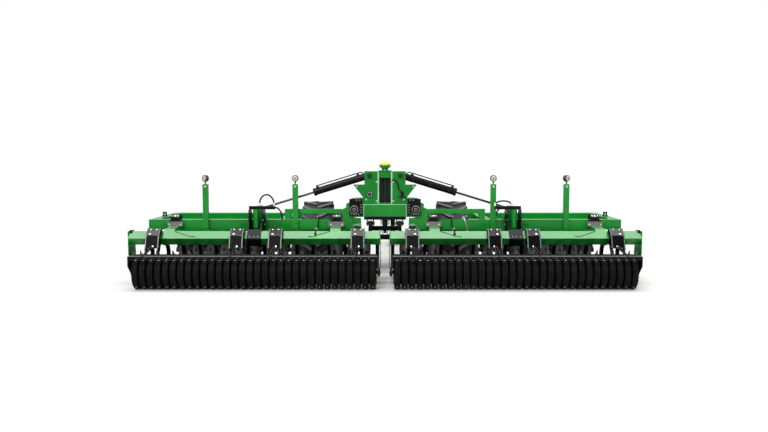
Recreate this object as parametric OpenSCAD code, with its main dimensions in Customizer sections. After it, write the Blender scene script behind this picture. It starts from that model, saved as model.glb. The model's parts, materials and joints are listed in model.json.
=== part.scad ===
// Folding high-speed disc harrow, standing unfolded on its packer rollers, wheels and jack.
// +X is to the right seen from behind, +Y is forward, +Z is up, the ground is z = 0.
// Places along Y are measured from the roller axis; at_roller() moves them into the part's frame.

/* [Overall] */
// Distance from the roller axis forward to the middle of the hitch eye
hitch_reach = 6600; // [6400:10:6900]
// Outer end of the toolbars, from the centre line
bar_out = 3950; // [3900:5:4050]
// Inner end of the rear toolbars, from the centre line
bar_in = 80; // [75:1:88]
// Inner end of the front toolbars, from the centre line
front_bar_in = 430; // [400:5:450]

/* [Fold hinges] */
// Distance of each fold pin from the centre line
pin_x = 492; // [485:1:500]
// Height of the fold pins
pin_z = 1128; // [1120:1:1140]
// Radius of the fold pins
pin_r = 32; // [26:1:38]
// Thickness of the wing's hinge lug
lug_t = 60; // [50:1:64]
// Reach of the hinge lug along the wing tube
lug_reach = 180; // [140:1:184]
// Thickness of each hinge ear on the centre frame
ear_t = 25; // [18:1:28]
// Rise of the rear ears above the fold pins
rear_ear_h = 182; // [170:1:190]
// Rise of the front ears above the fold pins
front_ear_h = 112; // [106:1:130]

/* [Centre frame] */
// Half width of the cross beams
beam_half = 344; // [330:1:350]
// Width of the cross beams, front to back
beam_w = 200; // [190:1:220]
// Height of the cross beams
beam_h = 200; // [180:1:210]
// Height of the underside of the cross beams
beam_z = 1020; // [1012:1:1030]
// Middle of the long beams, from the centre line
long_x = 260; // [245:1:275]
// Width of a long beam
long_w = 120; // [90:1:130]

/* [Mast] */
// Top of the mast plates
mast_top = 1740; // [1725:1:1760]
// Half width of the mast head
head_half = 327; // [318:1:340]
// Thickness of the mast plates
mast_t = 25; // [18:1:28]
// Half distance between the twin channel plates
channel_half = 95; // [88:1:105]
// Half width of the mast's foot
foot_half = 340; // [325:1:342]
// Top of the mast's foot
foot_top = 1312; // [1300:1:1330]
// Half width of the mast's shoulders
shoulder_half = 503; // [490:1:506]
// Height of the mast's shoulders
shoulder_z = 1525; // [1505:1:1535]

/* [Wing frame] */
// Middle of the rear wing tube
rear_y = 925; // [915:1:930]
// Middle of the front wing tube
front_y = 2335; // [2325:1:2345]
// Width of the front and rear wing tubes
tube_w = 150; // [140:1:156]
// Height of the wing tubes
tube_h = 160; // [140:1:165]
// Height of the top of the wing tubes
wing_top = 970; // [965:1:974]
// Inner face of the inner side tube
inner_x = 510; // [506:1:520]
// Width of the inner side tube
inner_w = 100; // [80:1:110]
// Inner face of the middle side tube
mid_x = 1550; // [1530:5:1600]
// Outer face of the outer side tube
side_x = 3770; // [3740:5:3800]

/* [Toolbars] */
// Side of the square toolbars, which are set on a corner
bar_side = 150; // [140:1:154]
// Height of the middle of the toolbars
bar_z = 720; // [715:1:725]
// Middle of the rear toolbar
rear_bar_y = 450; // [440:1:460]
// Middle of the front toolbar
front_bar_y = 2600; // [2590:1:2620]
// Distance of the inner toolbar arms from the centre line
arm_in = 770; // [760:5:800]
// Distance of the outer toolbar arms from the toolbar's outer end
arm_inset = 613; // [600:1:630]
// Width of a toolbar arm
arm_w = 160; // [120:1:180]
// Thickness of the side shields
shield_t = 12; // [8:1:16]

/* [Discs] */
// Diameter of a disc
disc_d = 508; // [490:1:512]
// Most discs in each row of a wing
disc_n = 15; // [13:1:15]
// Distance between neighbouring discs
disc_pitch = 254; // [250:1:254]
// Angle of a disc to the direction of travel
disc_angle = 17; // [14:1:18]
// Depth of a disc's dish
dish = 60; // [50:1:65]
// Thickness of a disc
disc_t = 6; // [5:1:8]
// Height of the discs' lower edge above the ground
disc_gap = 6; // [5:1:10]
// Width of a disc arm
shank_w = 56; // [40:1:60]

/* [Rollers] */
// Diameter over the rings of a roller
roller_d = 500; // [490:1:504]
// Inner end of the rings, from the centre line
roller_in = 124; // [120:1:130]
// Outer end of the rings, from the centre line
roller_out = 3743; // [3700:1:3760]
// Number of rings on a roller
ring_n = 32; // [30:1:34]
// Depth of the grooves between the rings
groove = 75; // [60:1:85]
// Flat width of a ring's crest
crest = 78; // [70:1:80]
// Radius of a roller's shaft
shaft_r = 30; // [24:1:36]
// Thickness of the roller frame's end plates
end_t = 12; // [8:1:12]
// Side of the scraper bar behind a roller
scraper_bar = 50; // [44:1:52]
// Side of the square tube in front of a roller
roller_tube = 60; // [50:1:64]

/* [Wheels] */
// Diameter of the tyres over their lugs
tyre_d = 1220; // [1200:1:1224]
// Width of a tyre
tyre_w = 500; // [460:1:510]
// Height of the tyre lugs
tyre_lug_h = 36; // [28:1:40]
// Number of lugs on each side of a tyre
tyre_lug_n = 16; // [14:1:18]
// Diameter of a rim
rim_d = 620; // [600:1:640]
// Middle of a wheel, from the centre line
wheel_x = 1120; // [1115:1:1130]
// Wheel axis ahead of the roller axis
wheel_y = 1640; // [1635:1:1645]
// Side of the square axle beam
axle_side = 80; // [70:1:84]
// Radius of a wheel spindle
spindle_r = 35; // [30:1:40]

/* [Fold cylinders] */
// Distance of the barrel pins from the centre line
barrel_x = 245; // [240:1:250]
// Height of the barrel pins
barrel_z = 1677; // [1670:1:1684]
// Distance of the rod eyes from the centre line
eye_x = 1980; // [1970:1:1990]
// Height of the rod eyes
eye_z = 1145; // [1140:1:1150]
// Diameter of the barrels
barrel_d = 112; // [105:1:116]
// Length from the barrel pin to the gland
barrel_l = 935; // [930:1:940]
// Radius of the rods
rod_r = 18; // [16:1:22]

/* [Lamps] */
// Width of a lamp post
post_w = 88; // [70:1:95]
// Top of the lamp posts
post_top = 1537; // [1500:1:1560]
// Radius of a lamp
lamp_r = 52; // [46:1:56]

/* [Drawbar] */
// Width of the drawbar
drawbar_w = 200; // [180:1:220]
// Radius of the hitch hole
hitch_r = 26; // [22:1:30]
// Outer radius of the hitch eye
hitch_ro = 75; // [70:1:85]
// Distance of the jack behind the middle of the hitch eye
jack_back = 900; // [800:10:1000]
// Radius of the jack's leg
jack_r = 38; // [34:1:42]

/* [Hidden] */
$fn = 64;

// Radial clearance of a pin or rod in its bore
fit = 0.05;
// Clearance beside a lug or an eye
gap = 6;
// Clearance of a hose from what it lies on
touch = 0.3;
// Radius of the hoses
hose_r = 13;
// Bend radius of the hose on the mast, and the height of its bends' centres
hose_bend = 95;
mast_hose_z = 1505;

// Colours
green = "#1f7a2c";
black = "#1a1a1c";
steel = "#8d9094";
amber = "#d89a3a";
yellow = "#e6cf2e";

// Roller and frame places
roller_r = roller_d / 2;
rear_reach = roller_r + scraper_bar - 10;
length = rear_reach + hitch_reach + hitch_ro;
roller_y = rear_reach - length / 2;
beam_top = beam_z + beam_h;
tube_z = wing_top - tube_h;
tube_back = rear_y - tube_w / 2;
tube_front = front_y + tube_w / 2;
bar_c = bar_side / sqrt(2);
arm_out = bar_out - arm_inset;
stations = [rear_y, front_y];
ear_at = lug_t / 2 + gap + ear_t / 2;
ear_back = rear_y - ear_at - ear_t / 2;

// Roller frame: the scraper bar lies behind and above the roller
scraper_y = -rear_reach + scraper_bar / 2;
scraper_z = roller_r + roller_r - 5;
end_in = roller_in - 12 - end_t;
end_out = roller_out + 10;
bearing_in = 30;
bearing_out = 25;

// Front tube of the roller frame, ahead of the roller and below its crest
roller_tube_y = 235;
roller_tube_z = 460;
ring_pitch = (roller_out - roller_in) / ring_n;

// Fold cylinder at rest
fold_dx = eye_x - barrel_x;
fold_dz = eye_z - barrel_z;
fold_len = sqrt(fold_dx * fold_dx + fold_dz * fold_dz);
fold_angle = atan2(fold_dz, fold_dx);
mast_pin_r = 25;
fold_eye_r = barrel_d / 2 - 4;
mast_at = barrel_d / 2 + gap + mast_t / 2;
eye_w = barrel_d - 14;
bore_from = 76;
rod_in = 36;
rod_eye_w = 50;

// Axle: trailing arms from a cross pin under the front beam, pushed down by one cylinder
wheel_z = tyre_d / 2;
axle_py = front_y + 45;
axle_pz = 780;
axle_pin_r = 28;
axle_end = wheel_x - tyre_w / 2 - 30;
lift_y = rear_y + beam_w / 2 + 85;
lift_z = beam_z - 60;
lift_eye_y = wheel_y;
lift_eye_z = wheel_z + axle_side / 2 + 55;
lift_dy = lift_eye_y - lift_y;
lift_dz = lift_eye_z - lift_z;
lift_len = sqrt(lift_dy * lift_dy + lift_dz * lift_dz);
lift_angle = atan2(lift_dz, lift_dy);
lift_pin_r = 18;
lift_eye_w = 46;
tie_back = 280;
tie_y = axle_py - tie_back;
tie_z = axle_pz - (axle_pz - wheel_z) * tie_back / (axle_py - wheel_y);

// Disc arm: an arc from the toolbar's lower front face round to the hub
hub_u = 170;
hub_v = disc_d / 2 + disc_gap - bar_z;
shank_cu = 42;
shank_cv = -287;
shank_r = norm([hub_u - shank_cu, hub_v - shank_cv]);
shank_end = atan2(hub_v - shank_cv, hub_u - shank_cu);
shank_half = 20;
hub_from = 62;
hub_to = 102;
first_rear = bar_in + 40;
first_front = first_rear + 1.5 * disc_pitch;
rear_room = 240;
front_room = 60;

// Roller arm stations and lamp posts, from the centre line
roller_arm_inset = 402;
roller_arm_x = [418, 1678, 2270, bar_out - roller_arm_inset];
posts_left = [1423, 2848];
posts_right = [1718, 2878];
depth_x0 = 1912;
depth_w = 215;
depth_x1 = depth_x0 + depth_w;
depth_top = 1150;
depth_pin_z = 800;
depth_bar_h = 52;
depth_bar_in = 190;
depth_bar_y = rear_bar_y + 180;
depth_bar_half = 30;

// Tyre: lugs slant from the middle of the tread to its shoulder, with their corners on the tyre's diameter
tread_r = tyre_d / 2 - tyre_lug_h;
tyre_lug_w = 46;
tyre_lug_slant = 35;
tyre_lug_l = 0.45 * tyre_w / cos(tyre_lug_slant);
tyre_lug_span = (tyre_lug_l * sin(tyre_lug_slant) + tyre_lug_w * cos(tyre_lug_slant)) / 2;
tyre_lug_top = sqrt(tyre_d * tyre_d / 4 - tyre_lug_span * tyre_lug_span);
tyre_lug_root = tread_r - 45;

// Tie bar above the wing's rear tube
strut_low = 1065;
strut_top = 1137;

// Drawbar: its level run, the nose's upper and lower edges, and the shank of the hitch eye
level_run = 700;
nose_top = 600;
nose_low = 420;
hitch_shank = 330;

// Hinge covers: thickness, width, height and the radii of the ring
cover_t = 14;
cover_w = 210;
cover_h = 270;
cover_ring_ro = 66;
cover_ring_ri = 44;

// Jack beside the drawbar
sleeve_z = 320;
sleeve_h = 620;
sleeve_t = 12;
leg_h = 880;
foot_side = 260;
handle_z = 945;
jack_x = drawbar_w / 2 + 70;
jack_y = hitch_reach - jack_back;

module at_roller() translate([0, roller_y, 0]) children();

// Draws the right-hand piece, or its mirror image on the left
module on_side(s)
    at_roller()
        if (s < 0) mirror([1, 0, 0]) children();
        else children();

module block(x0, x1, y0, y1, z0, z1)
    translate([x0, y0, z0]) cube([x1 - x0, y1 - y0, z1 - z0]);

// Extrudes a (y, z) outline along X
module along_x(x0, x1)
    translate([x0, 0, 0]) rotate([90, 0, 90]) linear_extrude(x1 - x0) children();

// Extrudes an (x, z) outline along Y
module along_y(y0, y1)
    translate([0, y1, 0]) rotate([90, 0, 0]) linear_extrude(y1 - y0) children();

module rod_x(x0, x1, r, y, z)
    translate([x0, y, z]) rotate([0, 90, 0]) cylinder(h = x1 - x0, r = r);

module rod_y(y0, y1, r, x, z)
    translate([x, y0, z]) rotate([-90, 0, 0]) cylinder(h = y1 - y0, r = r);

function arc(cu, cv, r, a0, a1, n) =
    [for (i = [0:n]) let (a = a0 + (a1 - a0) * i / n) [cu + r * cos(a), cv + r * sin(a)]];

// Round tube along points in the XZ plane: rings of a fixed number of sides, closed at both ends
module planar_hose(path, r) {
    sides = 10;
    n = len(path);
    function tangent(i) =
        let (a = path[max(i - 1, 0)], b = path[min(i + 1, n - 1)], d = b - a) d / norm(d);
    points = [for (i = [0:n - 1], k = [0:sides - 1])
        let (t = tangent(i), c = r * cos(360 * k / sides), s = r * sin(360 * k / sides))
        [path[i][0] - t[1] * c, s, path[i][1] + t[0] * c]];
    side_faces = [for (i = [0:n - 2], k = [0:sides - 1])
        let (k1 = (k + 1) % sides)
        [i * sides + k, i * sides + k1, (i + 1) * sides + k1, (i + 1) * sides + k]];
    caps = [[for (k = [sides - 1:-1:0]) k], [for (k = [0:sides - 1]) (n - 1) * sides + k]];
    polyhedron(points, concat(side_faces, caps));
}

// Outline of a hinge ear: a trapezoid from the beam's end, rounded about the pin
module ear_outline(rise)
    difference() {
        union() {
            polygon([[beam_half, beam_z - 10], [beam_half, pin_z + rise], [pin_x + 38, pin_z + rise],
                [pin_x + 108, pin_z + 36], [pin_x, pin_z - 100], [pin_x, beam_z - 10]]);
            translate([pin_x, pin_z]) circle(r = 104);
        }
        translate([pin_x, pin_z]) circle(r = pin_r + fit);
    }

module centre_frame()
    color(green) at_roller() {
        for (y = stations) block(-beam_half, beam_half, y - beam_w / 2, y + beam_w / 2, beam_z, beam_top);
        for (s = [-1, 1])
            block(s * long_x - long_w / 2, s * long_x + long_w / 2, rear_y, front_y, beam_z + 20, beam_top - 20);
        for (s = [0, 1], y = stations, e = [-1, 1])
            mirror([s, 0, 0])
                along_y(y + e * ear_at - ear_t / 2, y + e * ear_at + ear_t / 2)
                    ear_outline(y == rear_y ? rear_ear_h : front_ear_h);
        axle_hangers();
        lift_lugs();
    }

// Plates under the front beam that hold the axle's cross pin
module axle_hangers()
    for (s = [-1, 1], e = [-1, 1])
        along_x(s * long_x + e * 55 - 10, s * long_x + e * 55 + 10)
            difference() {
                union() {
                    polygon([[axle_py - 90, beam_z], [axle_py + 50, beam_z],
                        [axle_py + 50, axle_pz], [axle_py - 50, axle_pz]]);
                    translate([axle_py, axle_pz]) circle(r = 50);
                }
                translate([axle_py, axle_pz]) circle(r = axle_pin_r + fit);
            }

// Plates on the rear beam that hold the lift cylinder's barrel pin
module lift_lugs()
    for (e = [-1, 1])
        along_x(e * (lift_eye_w / 2 + gap + 8) - 8, e * (lift_eye_w / 2 + gap + 8) + 8)
            difference() {
                union() {
                    polygon([[rear_y + beam_w / 2 - 60, beam_z], [rear_y + beam_w / 2, beam_z],
                        [rear_y + beam_w / 2, beam_z + 60], [lift_y + 36, lift_z + 20],
                        [lift_y - 20, lift_z - 30]]);
                    translate([lift_y, lift_z]) circle(r = 40);
                }
                translate([lift_y, lift_z]) circle(r = lift_pin_r + fit);
            }

// Mast outline: narrow foot, shoulders under the cylinders, square head; the rear plate has a window
module mast_outline(window)
    difference() {
        polygon([[-foot_half, beam_top], [foot_half, beam_top], [foot_half, foot_top],
            [shoulder_half, shoulder_z], [head_half, shoulder_z], [head_half, mast_top],
            [-head_half, mast_top], [-head_half, shoulder_z], [-shoulder_half, shoulder_z],
            [-foot_half, foot_top]]);
        if (window)
            translate([-channel_half, beam_top + 20]) square([2 * channel_half, mast_top - beam_top - 120]);
        for (s = [-1, 1]) translate([s * barrel_x, barrel_z]) circle(r = mast_pin_r + fit);
    }

module mast()
    color(green) at_roller() {
        for (e = [-1, 1])
            along_y(rear_y + e * mast_at - mast_t / 2, rear_y + e * mast_at + mast_t / 2) mast_outline(e < 0);
        for (s = [-1, 1])
            block(s * (channel_half + 6) - 6, s * (channel_half + 6) + 6,
                rear_y - beam_w / 2, rear_y + beam_w / 2, beam_top, mast_top);
        block(-channel_half - 12, channel_half + 12, rear_y - beam_w / 2, rear_y + beam_w / 2,
            mast_top, mast_top + 12);
    }

// Hoses that climb the channel, and one that leaves it over the mast's right-hand plate
module mast_hoses()
    color(black) at_roller() {
        for (i = [-2:2])
            translate([i * 34, rear_y - (i % 2 == 0 ? 34 : 4), beam_top])
                cylinder(h = mast_top - beam_top, r = hose_r);
        translate([0, rear_y - mast_at - mast_t / 2 - hose_r - touch, 0])
            planar_hose(concat([[channel_half + 12 + touch, mast_hose_z + hose_bend]],
                arc(channel_half + 22, mast_hose_z, hose_bend, 90, 0, 6),
                arc(channel_half + 22 + 2 * hose_bend, mast_hose_z, hose_bend, 188, 240, 4)), hose_r);
    }

module receiver_base()
    color(green) at_roller() translate([0, rear_y, mast_top + 12])
        rotate_extrude()
            polygon([[0, 0], [60, 0], [52, 22], [52, 34], [88, 52], [92, 90], [0, 90]]);

module receiver_cap()
    color(yellow) at_roller() translate([0, rear_y, mast_top + 102])
        rotate_extrude()
            polygon(concat([[0, 0]], [for (a = [0:15:75]) [92 * cos(a), 46 * sin(a)]], [[0, 46]]));

// Side view of the drawbar: level under the beam, then sloping down to the hitch
module drawbar()
    color(green) at_roller() {
        y0 = front_y + beam_w / 2;
        y1 = hitch_reach - hitch_shank;
        along_x(-drawbar_w / 2, drawbar_w / 2)
            polygon([[y0, beam_z], [y0, beam_top], [y0 + level_run, beam_top], [y1 - 160, nose_top + 10],
                [y1, nose_top], [y1, nose_low], [y1 - 220, nose_low], [y0 + level_run - 60, beam_z - 20]]);
        for (s = [0, 1])
            mirror([s, 0, 0])
                translate([0, 0, beam_z + 40]) linear_extrude(beam_h - 80)
                    polygon([[drawbar_w / 2, y0], [beam_half, y0], [drawbar_w / 2, y0 + 620]]);
    }

module hitch_eye()
    color(steel) at_roller() {
        y1 = hitch_reach - hitch_shank;
        translate([0, 0, 480]) linear_extrude(60)
            difference() {
                union() {
                    translate([0, hitch_reach]) circle(r = hitch_ro);
                    translate([-60, y1]) square([120, hitch_reach - y1]);
                }
                translate([0, hitch_reach]) circle(r = hitch_r);
            }
    }

module jack_sleeve()
    color(black) at_roller() {
        translate([jack_x, jack_y, sleeve_z])
            difference() {
                cylinder(h = sleeve_h, r = jack_r + sleeve_t);
                translate([0, 0, -1]) cylinder(h = sleeve_h - 18, r = jack_r + fit);
            }
        block(drawbar_w / 2, jack_x - jack_r - 4, jack_y - 60, jack_y + 60, 560, 660);
        rod_x(jack_x - 90, jack_x + 150, 9, jack_y, handle_z);
    }

module jack_leg()
    color(steel) at_roller() translate([jack_x, jack_y, 0]) {
        cylinder(h = leg_h, r = jack_r);
        linear_extrude(14) square(foot_side, center = true);
    }

// Pins of the fold hinges, the fold barrels, the axle and the lift barrel
module pins()
    color(steel) at_roller() {
        for (s = [-1, 1], y = stations)
            rod_y(y - ear_at - ear_t / 2 - 10, y + ear_at + ear_t / 2 + 20, pin_r, s * pin_x, pin_z);
        for (s = [-1, 1])
            rod_y(rear_y - mast_at - mast_t / 2 - 18, rear_y + mast_at + mast_t / 2 + 18, mast_pin_r,
                s * barrel_x, barrel_z);
        for (s = [-1, 1]) rod_x(s * long_x - 78, s * long_x + 78, axle_pin_r, axle_py, axle_pz);
        rod_x(-lift_eye_w / 2 - gap - 30, lift_eye_w / 2 + gap + 30, lift_pin_r, lift_y, lift_z);
    }

// Black cover plates behind the rear ears, each with a ring about the pin
module hinge_covers()
    color(black) at_roller()
        for (s = [0, 1])
            mirror([s, 0, 0]) {
                along_y(ear_back - cover_t, ear_back)
                    difference() {
                        translate([beam_half + 16, pin_z - 96]) square([cover_w, cover_h]);
                        translate([pin_x, pin_z]) circle(r = pin_r + 1);
                    }
                along_y(ear_back - cover_t - 16, ear_back - cover_t)
                    difference() {
                        translate([pin_x, pin_z]) circle(r = cover_ring_ro);
                        translate([pin_x, pin_z]) circle(r = cover_ring_ri);
                    }
            }

// Trailing axle: bush tubes on the cross pin, two tied arms, the beam, its spindles and the cylinder's lugs
module axle()
    color(black) at_roller() {
        difference() {
            union() {
                for (s = [-1, 1]) {
                    rod_x(s * long_x - 39, s * long_x + 39, 46, axle_py, axle_pz);
                    along_x(s * long_x - 30, s * long_x + 30)
                        polygon([[axle_py - 20, axle_pz - 44], [axle_py - 20, axle_pz + 44],
                            [wheel_y + axle_side / 2 - 4, wheel_z + axle_side / 2],
                            [wheel_y + axle_side / 2 - 4, wheel_z - axle_side / 2]]);
                }
            }
            for (s = [-1, 1]) rod_x(s * long_x - 80, s * long_x + 80, axle_pin_r + fit, axle_py, axle_pz);
        }
        block(-axle_end, axle_end, wheel_y - axle_side / 2, wheel_y + axle_side / 2,
            wheel_z - axle_side / 2, wheel_z + axle_side / 2);
        block(-long_x, long_x, tie_y - axle_side / 2, tie_y + axle_side / 2,
            tie_z - axle_side / 2, tie_z + axle_side / 2);
        for (s = [-1, 1])
            rod_x(s > 0 ? axle_end : -wheel_x - 90, s > 0 ? wheel_x + 90 : -axle_end, spindle_r, wheel_y, wheel_z);
        for (e = [-1, 1])
            along_x(e * (lift_eye_w / 2 + gap + 8) - 8, e * (lift_eye_w / 2 + gap + 8) + 8)
                union() {
                    translate([wheel_y - 36, wheel_z + axle_side / 2])
                        square([72, lift_eye_z - wheel_z - axle_side / 2]);
                    translate([lift_eye_y, lift_eye_z]) circle(r = 36);
                }
    }

// Cylinder barrel along +X from its pin, with a bored eye, a gland and the rod's bore
module barrel(eye_r, pin, width, d, l, bore_r, bore_from)
    difference() {
        union() {
            rod_y(-width / 2, width / 2, eye_r, 0, 0);
            rod_x(eye_r * 0.6, l - 30, d / 2, 0, 0);
            rod_x(l - 40, l, d / 2 + 6, 0, 0);
        }
        rod_y(-width, width, pin + fit, 0, 0);
        rod_x(bore_from, l + 1, bore_r + fit, 0, 0);
        for (e = [-1, 1])
            translate([-eye_r - 1, e > 0 ? width / 2 : -width / 2 - 100, -eye_r - 1])
                cube([eye_r * 2 + 8, 100, eye_r * 2 + 2]);
    }

module lift_barrel()
    color(black) at_roller() translate([0, lift_y, lift_z]) rotate([lift_angle, 0, 0]) rotate([0, 0, 90])
        barrel(34, lift_pin_r, lift_eye_w, 80, lift_len - 150, 20, 60);

module lift_rod()
    color(steel) at_roller() translate([0, lift_y, lift_z]) rotate([lift_angle, 0, 0]) rotate([0, 0, 90]) {
        rod_x(lift_len - 330, lift_len - 20, 20, 0, 0);
        rod_y(-lift_eye_w / 2, lift_eye_w / 2, 32, lift_len, 0);
    }

// Tyre: a revolved carcass with slanting lugs on both sides of its tread
module tyre(s)
    color(black) on_side(s) translate([wheel_x, wheel_y, wheel_z]) rotate([0, 90, 0]) {
        rotate_extrude($fn = 96)
            polygon([[rim_d / 2, -tyre_w * 0.36], [rim_d / 2 + 40, -tyre_w * 0.42],
                [tyre_d / 2 - 150, -tyre_w / 2], [tread_r - 30, -tyre_w * 0.46], [tread_r, -tyre_w * 0.36],
                [tread_r, tyre_w * 0.36], [tread_r - 30, tyre_w * 0.46], [tyre_d / 2 - 150, tyre_w / 2],
                [rim_d / 2 + 40, tyre_w * 0.42], [rim_d / 2, tyre_w * 0.36]]);
        for (e = [-1, 1], k = [0:tyre_lug_n - 1])
            rotate([0, 0, (k + (e > 0 ? 0.5 : 0)) * 360 / tyre_lug_n])
                translate([tyre_lug_root, 0, e * tyre_w * 0.24]) rotate([e * tyre_lug_slant, 0, 0])
                    translate([0, -tyre_lug_w / 2, -tyre_lug_l / 2])
                        cube([tyre_lug_top - tyre_lug_root, tyre_lug_w, tyre_lug_l]);
    }

// Rim with its dished centre and a bored hub
module wheel(s)
    color(yellow) on_side(s) translate([wheel_x, wheel_y, wheel_z]) rotate([0, 90, 0])
        rotate_extrude($fn = 96) {
            r = rim_d / 2;
            h = tyre_w * 0.36;
            polygon([[r - 14, -h], [r, -h], [r, h], [r - 14, h], [r - 14, 70], [110, 20], [110, 85],
                [spindle_r + fit, 85], [spindle_r + fit, -130], [90, -130], [110, -60], [110, 0],
                [r - 14, 50]]);
        }

module wing_frame(s)
    color(green) on_side(s) {
        for (y = stations) block(inner_x, side_x, y - tube_w / 2, y + tube_w / 2, tube_z, wing_top);
        block(inner_x, inner_x + inner_w, rear_y, front_y, tube_z, wing_top);
        block(mid_x, mid_x + tube_w, rear_y, front_y, tube_z, wing_top);
        block(side_x - tube_w, side_x, rear_y, front_y, tube_z, wing_top);
        block(pin_x - 107, inner_x, rear_y - 50, rear_y + 45, pin_z - 223, pin_z - 140);
        strut();
        rod_lugs();
    }

// Tie bar above the rear tube, from the hinge lug out to its end block
module strut() {
    block(inner_x + lug_reach, mid_x + 50, rear_y - 40, rear_y + 40, strut_low, strut_top);
    block(mid_x - 50, mid_x + 50, rear_y - 50, rear_y + 50, wing_top, strut_top);
}

// Two plates on the rear tube that the fold rod's eye stands between
module rod_lugs()
    for (e = [-1, 1])
        along_y(rear_y + e * (rod_eye_w / 2 + gap + 8) - 8, rear_y + e * (rod_eye_w / 2 + gap + 8) + 8)
            union() {
                polygon([[eye_x - 90, wing_top], [eye_x + 90, wing_top], [eye_x + 45, eye_z], [eye_x - 45, eye_z]]);
                translate([eye_x, eye_z]) circle(r = 45);
            }

// Hinge lugs between the ears, seated on the wing tubes
module wing_lugs(s)
    color(green) on_side(s)
        for (y = stations)
            along_y(y - lug_t / 2, y + lug_t / 2)
                difference() {
                    union() {
                        polygon([[pin_x - 50, pin_z - 60], [inner_x + 20, wing_top], [inner_x + lug_reach, wing_top],
                            [inner_x + lug_reach, pin_z], [pin_x + 20, pin_z + 94]]);
                        translate([pin_x, pin_z]) circle(r = 95);
                    }
                    translate([pin_x, pin_z]) circle(r = pin_r + fit);
                }

module diamond(y)
    translate([y, bar_z]) polygon([[0, bar_c], [bar_c, 0], [0, -bar_c], [-bar_c, 0]]);

// Rear toolbar with the box arms that carry it on the wing's rear tube
module rear_toolbar(s)
    color(green) on_side(s) {
        along_x(bar_in, bar_out) diamond(rear_bar_y);
        for (x = [arm_in, arm_out])
            along_x(x - arm_w / 2, x + arm_w / 2)
                polygon([[tube_back, wing_top - 90], [tube_back, tube_z + 10], [rear_bar_y + bar_c, bar_z],
                    [rear_bar_y + bar_c / 3, bar_z + bar_c / 3], [rear_bar_y, bar_z + bar_c],
                    [rear_bar_y + 40, bar_z + bar_c + 34]]);
        arm_brace(arm_in, 1);
        arm_brace(arm_out, -1);
    }

// Flat brace on the toolbar's upper rear face, from an arm down towards the wing's middle
module arm_brace(x, dir)
    translate([x, rear_bar_y - bar_c, bar_z]) rotate([45, 0, 0]) translate([0, 0, -1]) linear_extrude(11)
        polygon([for (p = [[0.5, 0.94], [0.8, 0.94], [2.6, 0.25], [2.1, 0.25]])
            [dir * p[0] * arm_w, p[1] * bar_side]]);

// Front toolbar with its three box arms
module front_toolbar(s)
    color(green) on_side(s) {
        along_x(front_bar_in, bar_out) diamond(front_bar_y);
        for (x = [arm_in, (arm_in + arm_out) / 2, arm_out])
            along_x(x - arm_w / 2, x + arm_w / 2)
                polygon([[tube_front, wing_top - 20], [tube_front, tube_z + 10], [front_bar_y - bar_c, bar_z],
                    [front_bar_y - bar_c / 3, bar_z + bar_c / 3], [front_bar_y, bar_z + bar_c],
                    [front_bar_y - 40, bar_z + bar_c + 60]]);
    }

// Saddle clamps that hold the rear arms on the wing's rear tube
module arm_clamps(s)
    color(black) on_side(s)
        for (x = [arm_in, arm_out]) {
            along_x(x - 70, x + 70)
                polygon([[tube_back - 50, wing_top], [rear_y + 50, wing_top], [rear_y + 30, wing_top + 80],
                    [tube_back - 10, wing_top + 80], [tube_back - 50, wing_top + 40]]);
            block(x - 95, x + 95, tube_back - 50, tube_back, wing_top - 90, wing_top);
        }

// One disc arm: a clamp on the toolbar's lower front face, the curved shank and the hub's spindle
module disc_arm(dir) {
    along_x(-shank_w / 2, shank_w / 2) {
        rotate(-45) translate([bar_side / 2, -60]) square([36, 120]);
        polygon(concat(arc(shank_cu, shank_cv, shank_r + shank_half, 85, shank_end - 6, 8),
            arc(shank_cu, shank_cv, shank_r - shank_half, shank_end - 6, 85, 8)));
        translate([hub_u, hub_v]) circle(r = 44);
    }
    disc_place(dir) rod_x(0, hub_from, 34, 0, 0);
}

// Moves to the hub and turns +X to the disc's axis
module disc_place(dir)
    translate([0, hub_u, hub_v]) rotate([0, 0, dir > 0 ? -disc_angle : 180 + disc_angle]) children();

// A dished disc on its hub
module disc(dir)
    disc_place(dir) rotate([0, 90, 0]) rotate_extrude() {
        n = 6;
        r = disc_d / 2;
        outer = [for (i = [0:n]) [60 + (r - 60) * i / n, hub_to + dish * pow(i / n, 2)]];
        inner = [for (i = [n:-1:0]) [60 + (r - 60) * i / n, hub_to + disc_t + dish * pow(i / n, 2)]];
        polygon(concat([[0, hub_from], [58, hub_from], [60, hub_to]], outer, inner, [[0, hub_to + disc_t + 14]]));
    }

// Places of a row's arms along its toolbar, with room for the last disc inside the bar's end
module row_places(s, first, room, y)
    on_side(s)
        for (i = [0:min(disc_n - 1, floor((bar_out - first - room) / disc_pitch))])
            translate([first + i * disc_pitch, y, bar_z]) children();

module rear_disc_arms(s)
    color(black) row_places(s, first_rear, rear_room, rear_bar_y) disc_arm(1);

module front_disc_arms(s)
    color(black) row_places(s, first_front, front_room, front_bar_y) disc_arm(-1);

module rear_discs(s)
    color(steel) row_places(s, first_rear, rear_room, rear_bar_y) disc(1);

module front_discs(s)
    color(steel) row_places(s, first_front, front_room, front_bar_y) disc(-1);

// Green plates at both ends of the rear toolbar
module side_shields(s)
    color(green) on_side(s)
        for (x = [bar_in - shield_t, bar_out])
            along_x(x, x + shield_t)
                polygon([[rear_bar_y - 70, bar_z + bar_c], [rear_bar_y + 230, bar_z + bar_c],
                    [rear_bar_y + 300, 420], [rear_bar_y + 300, 130], [rear_bar_y + 60, 130],
                    [rear_bar_y - 70, 480]]);

module lamp_posts(s, places)
    color(green) on_side(s)
        for (x = places) {
            block(x - post_w / 2, x + post_w / 2, tube_back - 60, tube_back, tube_z, post_top);
            block(x - 12, x + 12, tube_back - 42, tube_back - 18, post_top, post_top + 40);
        }

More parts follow.
